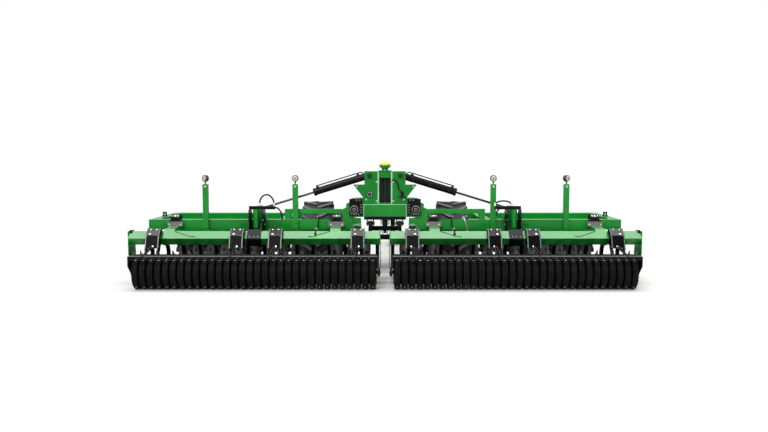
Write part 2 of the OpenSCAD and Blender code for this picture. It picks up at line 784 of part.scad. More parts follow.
// Round lamps on short stems, the outer ones turned outward
module lamps(s, places)
    color(amber) on_side(s)
        for (i = [0, 1])
            translate([places[i], tube_back - 30, post_top + 40 + lamp_r]) rotate([0, 0, i * 35])
                rod_y(-32, 32, lamp_r, 0, 0);

// Paired plates from the rear toolbar down to the roller's front tube, tied at their rear edges,
// and a strap from each pair over the roller to the scraper bar
module roller_arms(s)
    color(black) on_side(s)
        for (x = roller_arm_x) {
            for (e = [-1, 1])
                along_x(x + e * 95 - 8, x + e * 95 + 8) roller_arm_outline();
            along_x(x - 90, x + 90)
                translate([rear_bar_y, bar_z]) polygon([[-190, 60], [-265, -130], [-245, -138], [-170, 52]]);
            along_x(x - 20, x + 20) scraper_strap_outline();
        }

module roller_arm_outline() {
    half = roller_tube / 2;
    tube_u = roller_tube_y - rear_bar_y;
    seat = roller_tube_z + half - bar_z;
    translate([rear_bar_y, bar_z])
        polygon([[0, bar_c], [0, bar_c + 45], [-80, bar_c + 45], [-190, 60], [-265, -130],
            [tube_u - half - 20, seat], [tube_u + half, seat], [46 - bar_c, -46], [-bar_c, 0]]);
}

module scraper_strap_outline() {
    bar_u = scraper_y - rear_bar_y;
    seat = scraper_z + scraper_bar / 2 - bar_z;
    half = scraper_bar / 2;
    translate([rear_bar_y, bar_z])
        polygon([[-240, -112], [bar_u + half, seat + 14], [bar_u - half, seat + 14], [bar_u - half, seat],
            [bar_u + half, seat], [-247, -128]]);
}

// Scraper bar with a finger for each groove, the front tube, and the end plates with their bearings
module roller_frame(s)
    color(black) on_side(s) {
        half = scraper_bar / 2;
        block(end_in, end_out + end_t, scraper_y - half, scraper_y + half, scraper_z - half, scraper_z + half);
        block(end_in, end_out + end_t, roller_tube_y - roller_tube / 2, roller_tube_y + roller_tube / 2,
            roller_tube_z - roller_tube / 2, roller_tube_z + roller_tube / 2);
        for (k = [1:ring_n - 1])
            along_x(roller_in + k * ring_pitch - 6, roller_in + k * ring_pitch + 6)
                polygon([[scraper_y + half, scraper_z - 10], [scraper_y + half, scraper_z + 15],
                    [-0.50 * roller_r, roller_r * 1.80], [-0.54 * roller_r, roller_r * 1.70]]);
        difference() {
            union() {
                for (x = [end_in, end_out])
                    along_x(x, x + end_t) {
                        polygon([[scraper_y - half, scraper_z + half], [scraper_y + half + 60, scraper_z + half],
                            [roller_tube_y - 90, roller_tube_z + 40],
                            [roller_tube_y + roller_tube / 2, roller_tube_z + roller_tube / 2],
                            [roller_tube_y + roller_tube / 2, roller_tube_z - roller_tube / 2],
                            [80, roller_r - 40], [-60, roller_r - 70], [scraper_y - half, scraper_z - 120]]);
                        translate([0, roller_r]) circle(r = 90);
                    }
                rod_x(end_in - bearing_in, end_in, 62, 0, roller_r);
                rod_x(end_out + end_t, end_out + end_t + bearing_out, 62, 0, roller_r);
            }
            rod_x(end_in - bearing_in - 10, end_out + end_t + bearing_out + 10, shaft_r + fit, 0, roller_r);
        }
    }

// Packer roller: rubber rings with V grooves between them, on one shaft
module roller(s)
    color(black) on_side(s) translate([roller_in, 0, roller_r]) rotate([0, 90, 0]) {
        rotate_extrude($fn = 96)
            polygon(concat([[0, 0], [roller_r - groove, 0]],
                [for (k = [0:ring_n - 1], p = [0:3]) ring_point(k, p)],
                [[roller_r - groove, roller_out - roller_in], [0, roller_out - roller_in]]));
        translate([0, 0, end_in - bearing_in + 2 - roller_in])
            cylinder(h = end_out + end_t + bearing_out + bearing_in - 4 - end_in, r = shaft_r);
    }

// Four corners of each ring's outline: foot, crest, crest, foot
function ring_point(k, p) =
    let (mid = (k + 0.5) * ring_pitch, foot = ring_pitch / 2 - 4)
    [p == 0 || p == 3 ? roller_r - groove : roller_r,
        mid + (p == 0 ? -foot : p == 1 ? -crest / 2 : p == 2 ? crest / 2 : foot)];

// Depth control: side plates on the rear tube, a V clamp on the toolbar and a bar across the top
module depth_unit(s)
    color(black) on_side(s) {
        for (x = [depth_x0, depth_x1 - 14])
            along_x(x, x + 14)
                polygon([[tube_back, wing_top], [tube_back, tube_z], [rear_bar_y + bar_c, bar_z],
                    [rear_bar_y, bar_z + bar_c], [rear_bar_y + 60, bar_z + bar_c + 120], [rear_bar_y + 100, depth_top],
                    [tube_back - 60, depth_top]]);
        along_x(depth_x0, depth_x1)
            translate([rear_bar_y, bar_z])
                polygon([[0, bar_c], [0, bar_c + 24], [-bar_c - 24, 0], [0, -bar_c - 24], [0, -bar_c], [-bar_c, 0]]);
        block(depth_x0 - depth_bar_in, depth_x1, depth_bar_y - depth_bar_half, depth_bar_y + depth_bar_half,
            depth_top, depth_top + depth_bar_h);
        rod_x(depth_x0, depth_x1, 20, depth_bar_y, depth_pin_z);
    }

module depth_cylinder(s)
    color(green) on_side(s)
        translate([(depth_x0 + depth_x1) / 2, depth_bar_y, 0]) {
            translate([0, 0, depth_pin_z + 60]) cylinder(h = depth_top - depth_pin_z - 60, r = 48);
            translate([0, 0, depth_pin_z + 20]) cylinder(h = 60, r = 22);
        }

// Hoses of the depth control: an arch that stands on the bar, tall on the left and low on the right,
// and a feed from the bar's front face down to the wing's rear tube
module depth_hoses(s) {
    half = s < 0 ? 115 : 130;
    rise = s < 0 ? 158 : 60;
    mid = depth_x0 - 60;
    feed_in = s < 0 ? 172 : 50;
    feed = [-90, 250];
    reach = norm(feed);
    start_z = depth_top + depth_bar_h / 2;
    drop = start_z - wing_top - touch;
    start_y = depth_bar_y + depth_bar_half + touch + hose_r * abs(feed[0]) / reach;
    color(black) on_side(s) {
        translate([0, depth_bar_y, depth_top + depth_bar_h])
            planar_hose(concat([[mid - half, 0]],
                [for (a = [180:-12:0]) [mid + half * cos(a), 20 + rise * sin(a)]], [[mid + half, 0]]), hose_r);
        translate([depth_x0 - feed_in, start_y, start_z]) rotate([0, 0, atan2(feed[1], feed[0])])
            planar_hose(concat([for (a = [0:9:90]) [reach * sin(a), (drop - hose_r) * (cos(a) - 1)]],
                [[reach, -drop]]), hose_r);
    }
}

module fold_place(s)
    on_side(s) translate([barrel_x, rear_y, barrel_z]) rotate([0, -fold_angle, 0]) children();

module fold_barrel(s)
    color(black) fold_place(s) {
        barrel(fold_eye_r, mast_pin_r, eye_w, barrel_d, barrel_l, rod_r, bore_from);
        rod_x(170, barrel_l - 60, 9, 0, barrel_d / 2 + 30);
        for (x = [180, barrel_l - 80])
            translate([x, 0, barrel_d / 2 - 4]) cylinder(h = 38, r = 13);
    }

module fold_rod(s)
    color(steel) fold_place(s) {
        rod_x(barrel_l - rod_in, fold_len - 30, rod_r, 0, 0);
        rod_y(-rod_eye_w / 2, rod_eye_w / 2, 42, fold_len, 0);
    }

centre_frame();
mast();
mast_hoses();
receiver_base();
receiver_cap();
drawbar();
hitch_eye();
jack_sleeve();
jack_leg();
pins();
hinge_covers();
axle();
lift_barrel();
lift_rod();
wheel(-1);  // wheel_left
wheel(1);  // wheel_right
tyre(-1);  // tyre_left
tyre(1);  // tyre_right
wing_frame(-1);  // wing_frame_left
wing_frame(1);  // wing_frame_right
wing_lugs(-1);  // wing_lugs_left
wing_lugs(1);  // wing_lugs_right
rear_toolbar(-1);  // rear_toolbar_left
rear_toolbar(1);  // rear_toolbar_right
front_toolbar(-1);  // front_toolbar_left
front_toolbar(1);  // front_toolbar_right
arm_clamps(-1);  // arm_clamps_left
arm_clamps(1);  // arm_clamps_right
rear_disc_arms(-1);  // rear_disc_arms_left
front_disc_arms(-1);  // front_disc_arms_left
rear_disc_arms(1);  // rear_disc_arms_right
front_disc_arms(1);  // front_disc_arms_right
rear_discs(-1);  // rear_discs_left
front_discs(-1);  // front_discs_left
rear_discs(1);  // rear_discs_right
front_discs(1);  // front_discs_right
side_shields(-1);  // side_shields_left
side_shields(1);  // side_shields_right
lamp_posts(-1, posts_left);  // lamp_posts_left
lamp_posts(1, posts_right);  // lamp_posts_right
lamps(-1, posts_left);  // lamps_left
lamps(1, posts_right);  // lamps_right
roller_arms(-1);  // roller_arms_left
roller_arms(1);  // roller_arms_right
roller_frame(-1);  // roller_frame_left
roller_frame(1);  // roller_frame_right
roller(-1);  // roller_left
roller(1);  // roller_right
depth_unit(-1);  // depth_unit_left
depth_unit(1);  // depth_unit_right
depth_cylinder(-1);  // depth_cylinder_left
depth_cylinder(1);  // depth_cylinder_right
depth_hoses(-1);  // depth_hoses_left
depth_hoses(1);  // depth_hoses_right
fold_barrel(-1);  // fold_barrel_left
fold_barrel(1);  // fold_barrel_right
fold_rod(-1);  // fold_rod_left
fold_rod(1);  // fold_rod_right
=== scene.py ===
"""Looks of the folding disc harrow: finishes, fasteners, lamps, pipes, thin trim, studio and camera.

Lengths are in metres. A place on a wing is given as x outward from the centre line, y forward from the
roller axis and z up from the ground, and at() takes it to the left or the right wing.
"""
import json
import math
from collections import namedtuple

import bmesh
import bpy
from mathutils import Matrix, Vector


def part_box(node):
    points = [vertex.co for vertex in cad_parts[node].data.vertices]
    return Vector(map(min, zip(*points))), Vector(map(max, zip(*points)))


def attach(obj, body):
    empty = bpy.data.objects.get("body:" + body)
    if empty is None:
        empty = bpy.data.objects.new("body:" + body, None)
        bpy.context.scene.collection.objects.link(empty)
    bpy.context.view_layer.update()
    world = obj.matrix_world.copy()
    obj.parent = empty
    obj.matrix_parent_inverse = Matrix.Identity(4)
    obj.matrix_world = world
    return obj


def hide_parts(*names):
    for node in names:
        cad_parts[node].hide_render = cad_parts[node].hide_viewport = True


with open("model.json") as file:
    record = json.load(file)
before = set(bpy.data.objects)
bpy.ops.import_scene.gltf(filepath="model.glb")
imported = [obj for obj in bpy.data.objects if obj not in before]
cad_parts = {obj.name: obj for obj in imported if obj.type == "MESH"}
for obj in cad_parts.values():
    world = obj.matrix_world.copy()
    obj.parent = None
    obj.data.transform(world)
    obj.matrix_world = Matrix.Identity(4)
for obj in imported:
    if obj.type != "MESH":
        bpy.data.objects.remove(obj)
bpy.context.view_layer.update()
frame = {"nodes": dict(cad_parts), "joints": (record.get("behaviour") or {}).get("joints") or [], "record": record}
nodes = frame["nodes"]
joints = {joint["name"]: joint for joint in frame["joints"]}

SIDES = {"left": -1, "right": 1}
BACK = Vector((0, -1, 0))
UP = Vector((0, 0, 1))
UPPER_BACK = (BACK + UP).normalized()

# A plate on the back of a solid: its ranges in x and z, its thickness and the rounding of its edges
Plate = namedtuple("Plate", "x z thickness bevel")

# Places read from the frame
ROLLER_Y, ROLLER_R = joints["roller_right_spin"]["pos_m"][1:]
PIN_X, REAR_Y, PIN_Z = joints["wing_right_fold"]["pos_m"]
MAST_PIN_X, _, MAST_PIN_Z = joints["fold_barrel_right_swing"]["pos_m"]
WHEEL_X, WHEEL_Y, WHEEL_Z = joints["wheel_right_spin"]["pos_m"]
BEAM_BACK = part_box("centre_frame")[0].y
TUBE_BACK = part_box("wing_frame_right")[0].y - ROLLER_Y
POST_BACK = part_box("lamp_posts_right")[0].y - ROLLER_Y
SCRAPER_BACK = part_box("roller_frame_right")[0].y - ROLLER_Y
BEARING_X = [corner.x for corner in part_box("roller_frame_right")]
SHIELD_X = [corner.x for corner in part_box("side_shields_right")]
JACK_LOW, JACK_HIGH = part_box("jack_sleeve")

# Sizes of the solids that carry the trim, as in the part's source
WING_TOP = 0.970
TUBE_LOW = 0.820
REAR_BAR_Y = 0.450
FRONT_BAR_Y = 2.600
BAR_Z = 0.720
BAR_CORNER = 0.106
BOX_ARM_X = (0.770, 3.337)
ROLLER_ARM_X = (0.418, 1.678, 2.270, 3.548)
MAST_BACK = REAR_Y - 0.087

# Bolts: the washer and the head as (radius, height) points, in shares of the head's radius
WASHER = [(1.35, 0), (1.35, 0.22)]
BOLT_HEAD = [(1, 0.2), (1, 0.85), (0.82, 1)]

# Sides of round pieces
HEXAGON = 6
THIN_SIDES = 12
PIN_SIDES = 20
SMALL_SIDES = 24
LARGE_SIDES = 40
RING_SIDES = 48

# Angle past which an edge is sharp, in degrees
SHARP_ANGLE = 35.0
BOLT_SHARP_ANGLE = 30.0

# Hinge covers: the boss behind their face, bolts as (x, z), and rings as (outer radius, inner radius, height)
COVER_BOSS = 0.016
COVER_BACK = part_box("hinge_covers")[0].y + COVER_BOSS
COVER_BOLT_R = 0.008
COVER_SPOTS = [(0.384, z) for z in (1.085, 1.125, 1.165, 1.205)]
COVER_SPOTS += [(x, 1.054) for x in (0.42, 0.46, 0.50, 0.54)]
COVER_SPOTS += [(x, 1.280) for x in (0.40, 0.45)]
COVER_RINGS = ((0.068, 0.056, 0.019), (0.030, 0.020, 0.027))
RING_CHAMFER = 0.003

# Mast: bolts as (x, z), the hub on its left, the hose block on its right, the head plates, and the rails, pale
# strips of painted highlight along the edges of its channel
MAST_BOLT_R = 0.009
MAST_SPOTS = ((0.135, 1.572), (0.135, 1.270), (0.450, 1.498), (0.300, 1.290))
MAST_HUB = Vector((-0.243, MAST_BACK, 1.373))
MAST_HUB_FACE = 0.018
MAST_HUB_PROFILE = [(0.048, 0), (0.048, 0.014), (0.044, MAST_HUB_FACE), (0.018, MAST_HUB_FACE),
                    (0.016, 0.030), (0.010, 0.034)]
MAST_HUB_BOLTS = 8
MAST_HUB_BOLT_R = 0.005
MAST_HUB_CIRCLE = 0.033
HOSE_BLOCK = Plate((0.246, 0.296), (1.345, 1.425), 0.050, 0.006)
HOSE_BRACKET = Plate((0.215, 0.330), (1.325, 1.348), 0.034, 0.005)
HEAD_PLATE = Plate((0.119, 0.325), (1.622, 1.738), 0.012, 0.003)
HIGHLIGHT_RAIL = Plate((0.094, 0.119), (1.222, 1.738), 0.018, 0.004)
PIN_CAP_PROFILE = [(0.040, 0), (0.040, 0.016), (0.034, 0.022), (0.010, 0.022)]

# Rear cross beam: a dark block of painted shade under it, and pale strips of painted highlight along the edges of
# its face, which are sunk into it a little
SHADE_BLOCK_HALF = (0.335, 0.085)
SHADE_BLOCK_Z = (0.968, 1.021)
SHADE_BLOCK_BEVEL = 0.006
HIGHLIGHT_SUNK = 0.002
TOP_HIGHLIGHT = Plate((-0.343, 0.343), (1.207, 1.219), 0.006, 0.0015)
END_HIGHLIGHT = Plate((0.333, 0.343), (1.030, 1.207), 0.006, 0.0015)

# Jack: the grip on its handle and the bolts on its bracket
GRIP_IN = 0.080
GRIP_Z = 0.945
GRIP_PROFILE = [(0.013, 0), (0.017, 0.008), (0.017, 0.080), (0.012, 0.090)]
JACK_BRACKET = (0.118, 0.660)
JACK_BOLT_R = 0.010
JACK_BOLT_OFF = 0.035

# Roller arms: three points of the plates' outline, and shares of the way between them
ARM_CROWN = Vector((0, REAR_BAR_Y - 0.080, BAR_Z + BAR_CORNER + 0.045))
ARM_BEND = Vector((0, REAR_BAR_Y - 0.190, BAR_Z + 0.060))
ARM_LOW = Vector((0, REAR_BAR_Y - 0.265, BAR_Z - 0.130))
ARM_PLATE_X = 0.095
ARM_PLATE_OUT = 0.103
# Pale strips of painted highlight along the edges of the plates: half their width and their thickness
ARM_HIGHLIGHT_HALF = 0.0075
ARM_HIGHLIGHT_T = 0.002
ARM_CAP_HALF = 0.086
ARM_CAP_T = 0.012
CAP_BOLTS_DOWN = 0.16
CAP_BOLT_OFF = 0.045
CAP_PIN_DOWN = 0.84
CAP_PIN_OFF = 0.040
TIE_BOLT_DOWN = 0.86
TIE_BOLT_OFF = -0.020
ARM_BOLT_R = 0.008
ARM_PIN_R = 0.012
ARM_SIDE_BOLT_R = 0.009
ARM_SIDE_SPOTS = ((-0.040, BAR_CORNER + 0.024), (-0.150, 0.035), (-0.215, -0.110), (-0.222, -0.195))

# Saddle clamps of the box arms
CLAMP_BACK = TUBE_BACK - 0.050
CLAMP_PLATE = Plate((-0.125, 0.125), (0.862, 0.938), 0.014, 0.004)
CLAMP_RIM = Plate((-0.132, 0.132), (0.930, 0.944), 0.022, 0.004)
CLAMP_BOLT_R = 0.011
CLAMP_BOLT_OFF = 0.090
CLAMP_BOLT_Z = 0.895
FAN_OFF = 0.045
FAN_LEAN = 0.5
FAN_Y = TUBE_BACK - 0.030
FAN_Z = WING_TOP + 0.060

# Depth control: its bolts, and the ends of its arched hose and of its feed
DEPTH_X = (1.912, 2.127)
DEPTH_TOP = 1.202
DEPTH_FACE = BAR_CORNER + 0.024
DEPTH_ROW = (REAR_BAR_Y - 0.8 * DEPTH_FACE, BAR_Z + 0.2 * DEPTH_FACE)
DEPTH_ROW_X = (0.045, 0.107, 0.170)
DEPTH_ROW_BOLT_R = 0.008
DEPTH_BOLT_R = 0.009
DEPTH_SPOTS = ((0.63, 0.80), (0.70, 1.10), (0.62, 0.98), (0.80, 0.90))
ARCH_MIDDLE = DEPTH_X[0] - 0.060
ARCH_HALF = {"left": 0.115, "right": 0.130}
ARCH_Y = 0.630
FEED_X = {"left": DEPTH_X[0] - 0.262, "right": DEPTH_X[0] - 0.140}
FEED_Y = 0.925
HOSE_END_PROFILE = [(0.021, 0), (0.021, 0.014), (0.017, 0.016), (0.017, 0.046), (0.015, 0.050)]

# Lamp posts and lamps; the outer lamp of each wing is turned
POST_X = {"left": (1.423, 2.848), "right": (1.718, 2.878)}
POST_BOLT_R = 0.011
POST_TOP_Z = 1.500
POST_FOOT_Z = (0.930, 0.850)
LAMP_Y = 0.820
LAMP_Z = 1.629
LAMP_TURN = math.radians(35.0)
LAMP_SHELL = [(0.050, 0.0), (0.052, 0.010), (0.052, 0.026), (0.049, 0.032), (0.043, 0.032), (0.041, 0.027),
              (0.010, 0.027)]
LAMP_GLASS = [(0.041, 0.024), (0.040, 0.030), (0.032, 0.034), (0.016, 0.037), (0.003, 0.038)]
LAMP_STUD = [(0.011, 0.030), (0.011, 0.039), (0.006, 0.041)]

# Side shields, the knob above the outer one and the bracket on the wing's outer tube
SHIELD_BOLT_R = 0.014
SHIELD_SPOTS = ((0.405, 0.795), (0.405, 0.650), (0.430, 0.500), (0.500, 0.360), (0.570, 0.220),
                (0.640, 0.790))
KNOB = (3.925, REAR_BAR_Y - 0.020, BAR_Z + BAR_CORNER - 0.022)
KNOB_PROFILE = [(0.020, 0), (0.020, 0.030), (0.014, 0.040), (0.004, 0.042)]
CORNER_BASE = ((3.700, 3.765), (1.600, 1.730), (WING_TOP, WING_TOP + 0.012))
CORNER_LUG_X = (3.706, 3.747)
CORNER_LUG_T = 0.012
CORNER_LUG_Y = (1.630, 1.700)
CORNER_LUG_Z = (WING_TOP, WING_TOP + 0.070)
CORNER_BEVEL = 0.003
CORNER_PIN = (3.698, 1.665, WING_TOP + 0.050)
CORNER_PIN_PROFILE = [(0.011, 0), (0.011, 0.068)]

# Wheels: the tread, the tops of its lugs, the nuts and the hub cap
TREAD_R = 0.578
LUG_R = 0.596
WHEEL_NUTS = 10
WHEEL_NUT_R = 0.014
WHEEL_NUT_CIRCLE = 0.165
WHEEL_NUT_X = WHEEL_X + 0.035
HUB_CAP_X = WHEEL_X + 0.085
HUB_CAP_PROFILE = [(0.062, 0), (0.062, 0.012), (0.056, 0.026), (0.030, 0.034), (0.006, 0.036)]

# Disc rows: first disc's x, toolbar's y, number of discs, and 1 or -1 for hubs that face outward or inward
DISC_ROWS = {"rear": (0.120, REAR_BAR_Y, 15, 1), "front": (0.501, FRONT_BAR_Y, 14, -1)}
DISC_PITCH = 0.254
DISC_ANGLE = math.radians(17.0)
DISC_AHEAD = 0.170
DISC_Z = 0.260
DISC_BOLTS = 4
DISC_BOLT_R = 0.008
DISC_BOLT_CIRCLE = 0.042
DISC_BOLT_FACE = 0.1115

# Rollers and scrapers
RING_N = 32
RING_ENDS = (0.124, 3.743)
RING_PITCH = (RING_ENDS[1] - RING_ENDS[0]) / RING_N
STUD_TURNS = [math.radians(degrees) for degrees in (54.0, 126.0, -54.0, -126.0)]
STUD_SUNK = 0.004
STUD_PROFILE = [(0.009, 0), (0.009, 0.005), (0.007, 0.006)]
SCRAPER_ENDS = (0.114, 3.751)
SCRAPER_Z = 0.495
SCRAPER_BOLT_R = 0.007
# Pale strips on top of the scraper bar, as painted highlight: their ranges in y and z and their rounding
HIGHLIGHT_STRIP_Y = (SCRAPER_BACK + 0.004, SCRAPER_BACK + 0.040)
HIGHLIGHT_STRIP_Z = (SCRAPER_Z + 0.025, SCRAPER_Z + 0.036)
HIGHLIGHT_STRIP_BEVEL = 0.002
STRAP_CLEAR = 0.024
BEARING_BOLTS = 4
BEARING_BOLT_R = 0.009
BEARING_CIRCLE = 0.048

# Fold cylinders: places along the barrel and off its axis, from its pin
UNION_ALONG = (0.180, 0.855)
UNION_OFF = 0.053
UNION_PROFILE = [(0.024, 0), (0.024, 0.016), (0.020, 0.018)]
BARREL_PIPE = [(0.180, 0.086), (0.130, 0.086), (0.108, 0.080), (0.094, 0.066), (0.088, 0.048)]
BAND_ALONG = (0.210, 0.500, 0.820)
BAND_PROFILE = [(0.058, -0.012), (0.058, 0.012), (0.0555, 0.012), (0.0555, -0.012)]
ROD_PIN = (1.980, 1.145)
ROD_PIN_HALF = 0.047
ROD_PIN_R = 0.024

# Steel pipes round the rear tube, given by the corners of their routes
PIPE_R = 0.009
PIPE_BEND = 0.045
PIPE_OFF = 0.020
PIPE_START = TUBE_BACK + 0.110
PIPE_OVER = WING_TOP + PIPE_OFF
PIPE_BEHIND = TUBE_BACK - PIPE_OFF
PIPE_UNDER = TUBE_LOW - PIPE_OFF
DROP_X = 1.058
DROP_ROUTE = [(DROP_X, PIPE_START, PIPE_OVER), (DROP_X, PIPE_BEHIND, PIPE_OVER), (1.064, PIPE_BEHIND, 0.875),
              (1.070, 0.452, 0.856), (1.074, 0.386, 0.790)]
BRIGHT_TOP_X = 1.262
BRIGHT_LOW_X = 1.322
BRIGHT_ROUTE = [(BRIGHT_TOP_X, PIPE_START, PIPE_OVER), (BRIGHT_TOP_X, PIPE_BEHIND, PIPE_OVER),
                (1.320, PIPE_BEHIND, PIPE_UNDER), (BRIGHT_LOW_X, PIPE_START, PIPE_UNDER)]
FITTING_HALF = 0.018
FITTING_Y = (TUBE_BACK + 0.095, TUBE_BACK + 0.135)
FITTING_H = 0.038
FITTING_BEVEL = 0.003
DROP_UNION = (1.074, 0.400, 0.776)
DROP_UNION_PROFILE = [(0.020, 0), (0.020, 0.030), (0.014, 0.036)]
CLIP = (1.0695, 0.490, 0.858)
CLIP_PROFILE = [(0.010, -0.010), (0.017, -0.010), (0.017, 0.010), (0.010, 0.010)]
CLIP_FOOT = (1.0695, 0.490, 0.780)
CLIP_STEM_PROFILE = [(0.006, 0), (0.006, 0.066)]

# Camera, read from the photograph's frame of 768 by 432 pixels
PHOTO_W = 768
PHOTO_H = 432
MIDDLE_PX = 385.0
HORIZON_PX = 153.0
FOCAL_PX = 808.0
SENSOR_MM = 36.0
CAMERA_BACK = 12.0
CAMERA_UP = 2.03
CAMERA_REACH = 400.0

# Studio: lamps as (name, strength, angle in degrees, direction of the light)
WORLD_LIGHT = 0.38
FLOOR_HALF = 150.0
FLOOR_COLOUR = (0.75, 0.75, 0.75)
FLOOR_LIFT = 0.03
LAMPS = [
    ("top", 0.6, 18.0, (0.0, 0.05, -1.0)),
    ("top_left", 0.5, 18.0, (0.3, 0.05, -1.0)),
    ("top_right", 0.5, 18.0, (-0.3, 0.05, -1.0)),
    ("key", 2.1, 35.0, (0.3, 1.0, -0.95)),
    ("fill", 0.4, 60.0, (-0.8, 0.6, -0.5)),
]

# Colours, linear
# After each paint colour comes its paler edge colour, partly worn paint and partly painted highlight
WHITE = (1.0, 1.0, 1.0)
GREEN = (0.004, 0.240, 0.022)
GREEN_WEAR_AND_HIGHLIGHT = (0.10, 0.42, 0.14)
DARK_GREEN = (0.002, 0.045, 0.006)
DARK_GREEN_WEAR_AND_HIGHLIGHT = (0.05, 0.20, 0.07)
# A pale green that is painted highlight, for lit edges
HIGHLIGHT_GREEN = (0.30, 0.62, 0.34)
HIGHLIGHT_GREEN_EDGE = (0.50, 0.75, 0.50)
BLACK = (0.0045, 0.004, 0.0047)
BLACK_WEAR_AND_HIGHLIGHT = (0.30, 0.30, 0.31)
ARM_WEAR_AND_HIGHLIGHT = (0.70, 0.68, 0.70)
YELLOW = (0.80, 0.62, 0.03)
YELLOW_WEAR_AND_HIGHLIGHT = (0.90, 0.80, 0.40)
STEEL = (0.52, 0.53, 0.54)
ZINC = (0.72, 0.72, 0.70)
ROD_GREY = (0.06, 0.06, 0.062)
PIN_GREY = (0.10, 0.11, 0.10)
PLATE_GREY = (0.24, 0.23, 0.22)
DISC_GREY = (0.05, 0.05, 0.053)
ROLLER_BLACK = (0.0035, 0.0032, 0.0036)
TYRE_BLACK = (0.014, 0.014, 0.015)
LUG_TOP = (0.125, 0.120, 0.125)
HOSE_BLACK = (0.010, 0.010, 0.011)
LAMP_GREY = (0.035, 0.035, 0.034)
LENS = (0.50, 0.46, 0.37)

# Noise in the finishes, in features to the metre
DRIFT_SCALE = 2.3
SHEEN_SCALE = 14.0
CHIP_SCALE = 38.0
PEEL_SCALE = 420.0
STREAK_SCALE = (400.0, 400.0, 30.0)
EVEN_SCALE = (60.0, 60.0, 60.0)
DUST_SCALE = 7.0
RUBBER_SHEEN_SCALE = 22.0
CLOUD_SCALE = 30.0
MOULD_SCALE = 160.0

# Spread of the finishes: the least and the most of the colour, as shares, and of the roughness, as steps
# The mast's darker green, as a share of the green: painted shade; the machine is probably one green
MAST_SHADE = 0.8
PAINT_TONES = (0.86, 1.12)
PAINT_SHEEN = (-0.06, 0.08)
METAL_TONES = (0.72, 1.1)
METAL_SHEEN = (-0.08, 0.12)
RUBBER_TONES = (1.0, 2.2)
RUBBER_SHEEN = (-0.1, 0.1)
PLASTIC_TONES = (0.88, 1.08)

# Paler edges, partly worn paint and partly painted highlight: their width, how far the two normals agree where the
# paler colour starts and where it is full, and the rays
EDGE_WIDTH = 0.006
ARM_EDGE_WIDTH = 0.012
WEAR_AND_HIGHLIGHT_START = 0.98
WEAR_AND_HIGHLIGHT_FULL = 0.78
EDGE_RAYS = 4
COAT_ROUGHNESS = 0.16

# Places of a mix node's colour sockets
MIX_A = 6
MIX_B = 7
MIX_RESULT = 2


def opaque(colour):
    """A colour with its alpha."""
    return (*colour, 1.0)


def shade(colour, factor):
    """A darker or a paler colour."""
    return tuple(channel * factor for channel in colour)


def new_material(name):
    """A node material, its tree and its main shader."""
    material = bpy.data.materials.new(name)
    material.use_nodes = True
    tree = material.node_tree
    return material, tree, tree.nodes["Principled BSDF"]


def connect(tree, node, values):
    """Gives a node's inputs their values: an output is linked, and anything else is a constant."""
    for key, value in values.items():
        if isinstance(value, bpy.types.NodeSocket):
            tree.links.new(value, node.inputs[key])
        else:
            node.inputs[key].default_value = value


def add_node(tree, kind, values):
    """A shader node with the given inputs."""
    node = tree.nodes.new(kind)
    connect(tree, node, values)
    return node


def add_math(tree, operation, a, b):
    """The result of a math node."""
    node = tree.nodes.new("ShaderNodeMath")
    node.operation = operation
    connect(tree, node, {0: a, 1: b})
    return node.outputs["Value"]


def add_vector_math(tree, operation, values, result="Vector"):
    """The result of a vector math node, from its inputs in order."""
    node = tree.nodes.new("ShaderNodeVectorMath")
    node.operation = operation
    connect(tree, node, dict(enumerate(values)))
    return node.outputs[result]


def map_range(tree, source, low, high, start=0.0, end=1.0):
    """Takes a value between start and end to one between low and high."""
    spans = {"Value": source, "From Min": start, "From Max": end, "To Min": low, "To Max": high}
    return add_node(tree, "ShaderNodeMapRange", spans).outputs["Result"]


def own_place(tree):
    """The shaded point in object space, which is the frame's own space."""
    return tree.nodes.new("ShaderNodeTexCoord").outputs["Object"]


def noise(tree, scale, detail=4.0):
    """Noise in object space."""
    values = {"Vector": own_place(tree), "Scale": scale, "Detail": detail}
    return add_node(tree, "ShaderNodeTexNoise", values).outputs["Fac"]


def ramp(tree, source, colour, tones, start=0.35, end=0.65):
    """A ramp between two tones of a colour."""
    node = add_node(tree, "ShaderNodeValToRGB", {"Fac": source})
    for element, position, tone in zip(node.color_ramp.elements, (start, end), tones):
        element.position = position
        element.color = opaque(shade(colour, tone))
    return node.outputs["Color"]


def sheen(tree, source, roughness, steps):
    """A roughness that varies between two steps from its value."""
    return map_range(tree, source, roughness + steps[0], roughness + steps[1])


def mix_colour(tree, factor, a, b):
    """Mixes two colours."""
    node = tree.nodes.new("ShaderNodeMix")
    node.data_type = "RGBA"
    connect(tree, node, {"Factor": factor, MIX_A: a, MIX_B: b})
    return node.outputs[MIX_RESULT]


def add_bump(tree, values):
    """The normal of a bumped surface."""
    return add_node(tree, "ShaderNodeBump", values).outputs["Normal"]


def edge_mask(tree, width):
    """How far the rounded normal leaves the true one, which is high along sharp edges, and that normal."""
    bevel = add_node(tree, "ShaderNodeBevel", {"Radius": width})
    bevel.samples = EDGE_RAYS
    soft_normal = bevel.outputs["Normal"]
    true_normal = tree.nodes.new("ShaderNodeNewGeometry").outputs["Normal"]
    share = add_vector_math(tree, "DOT_PRODUCT", (soft_normal, true_normal), "Value")
    return map_range(tree, share, 0.0, 1.0, WEAR_AND_HIGHLIGHT_START, WEAR_AND_HIGHLIGHT_FULL), soft_normal


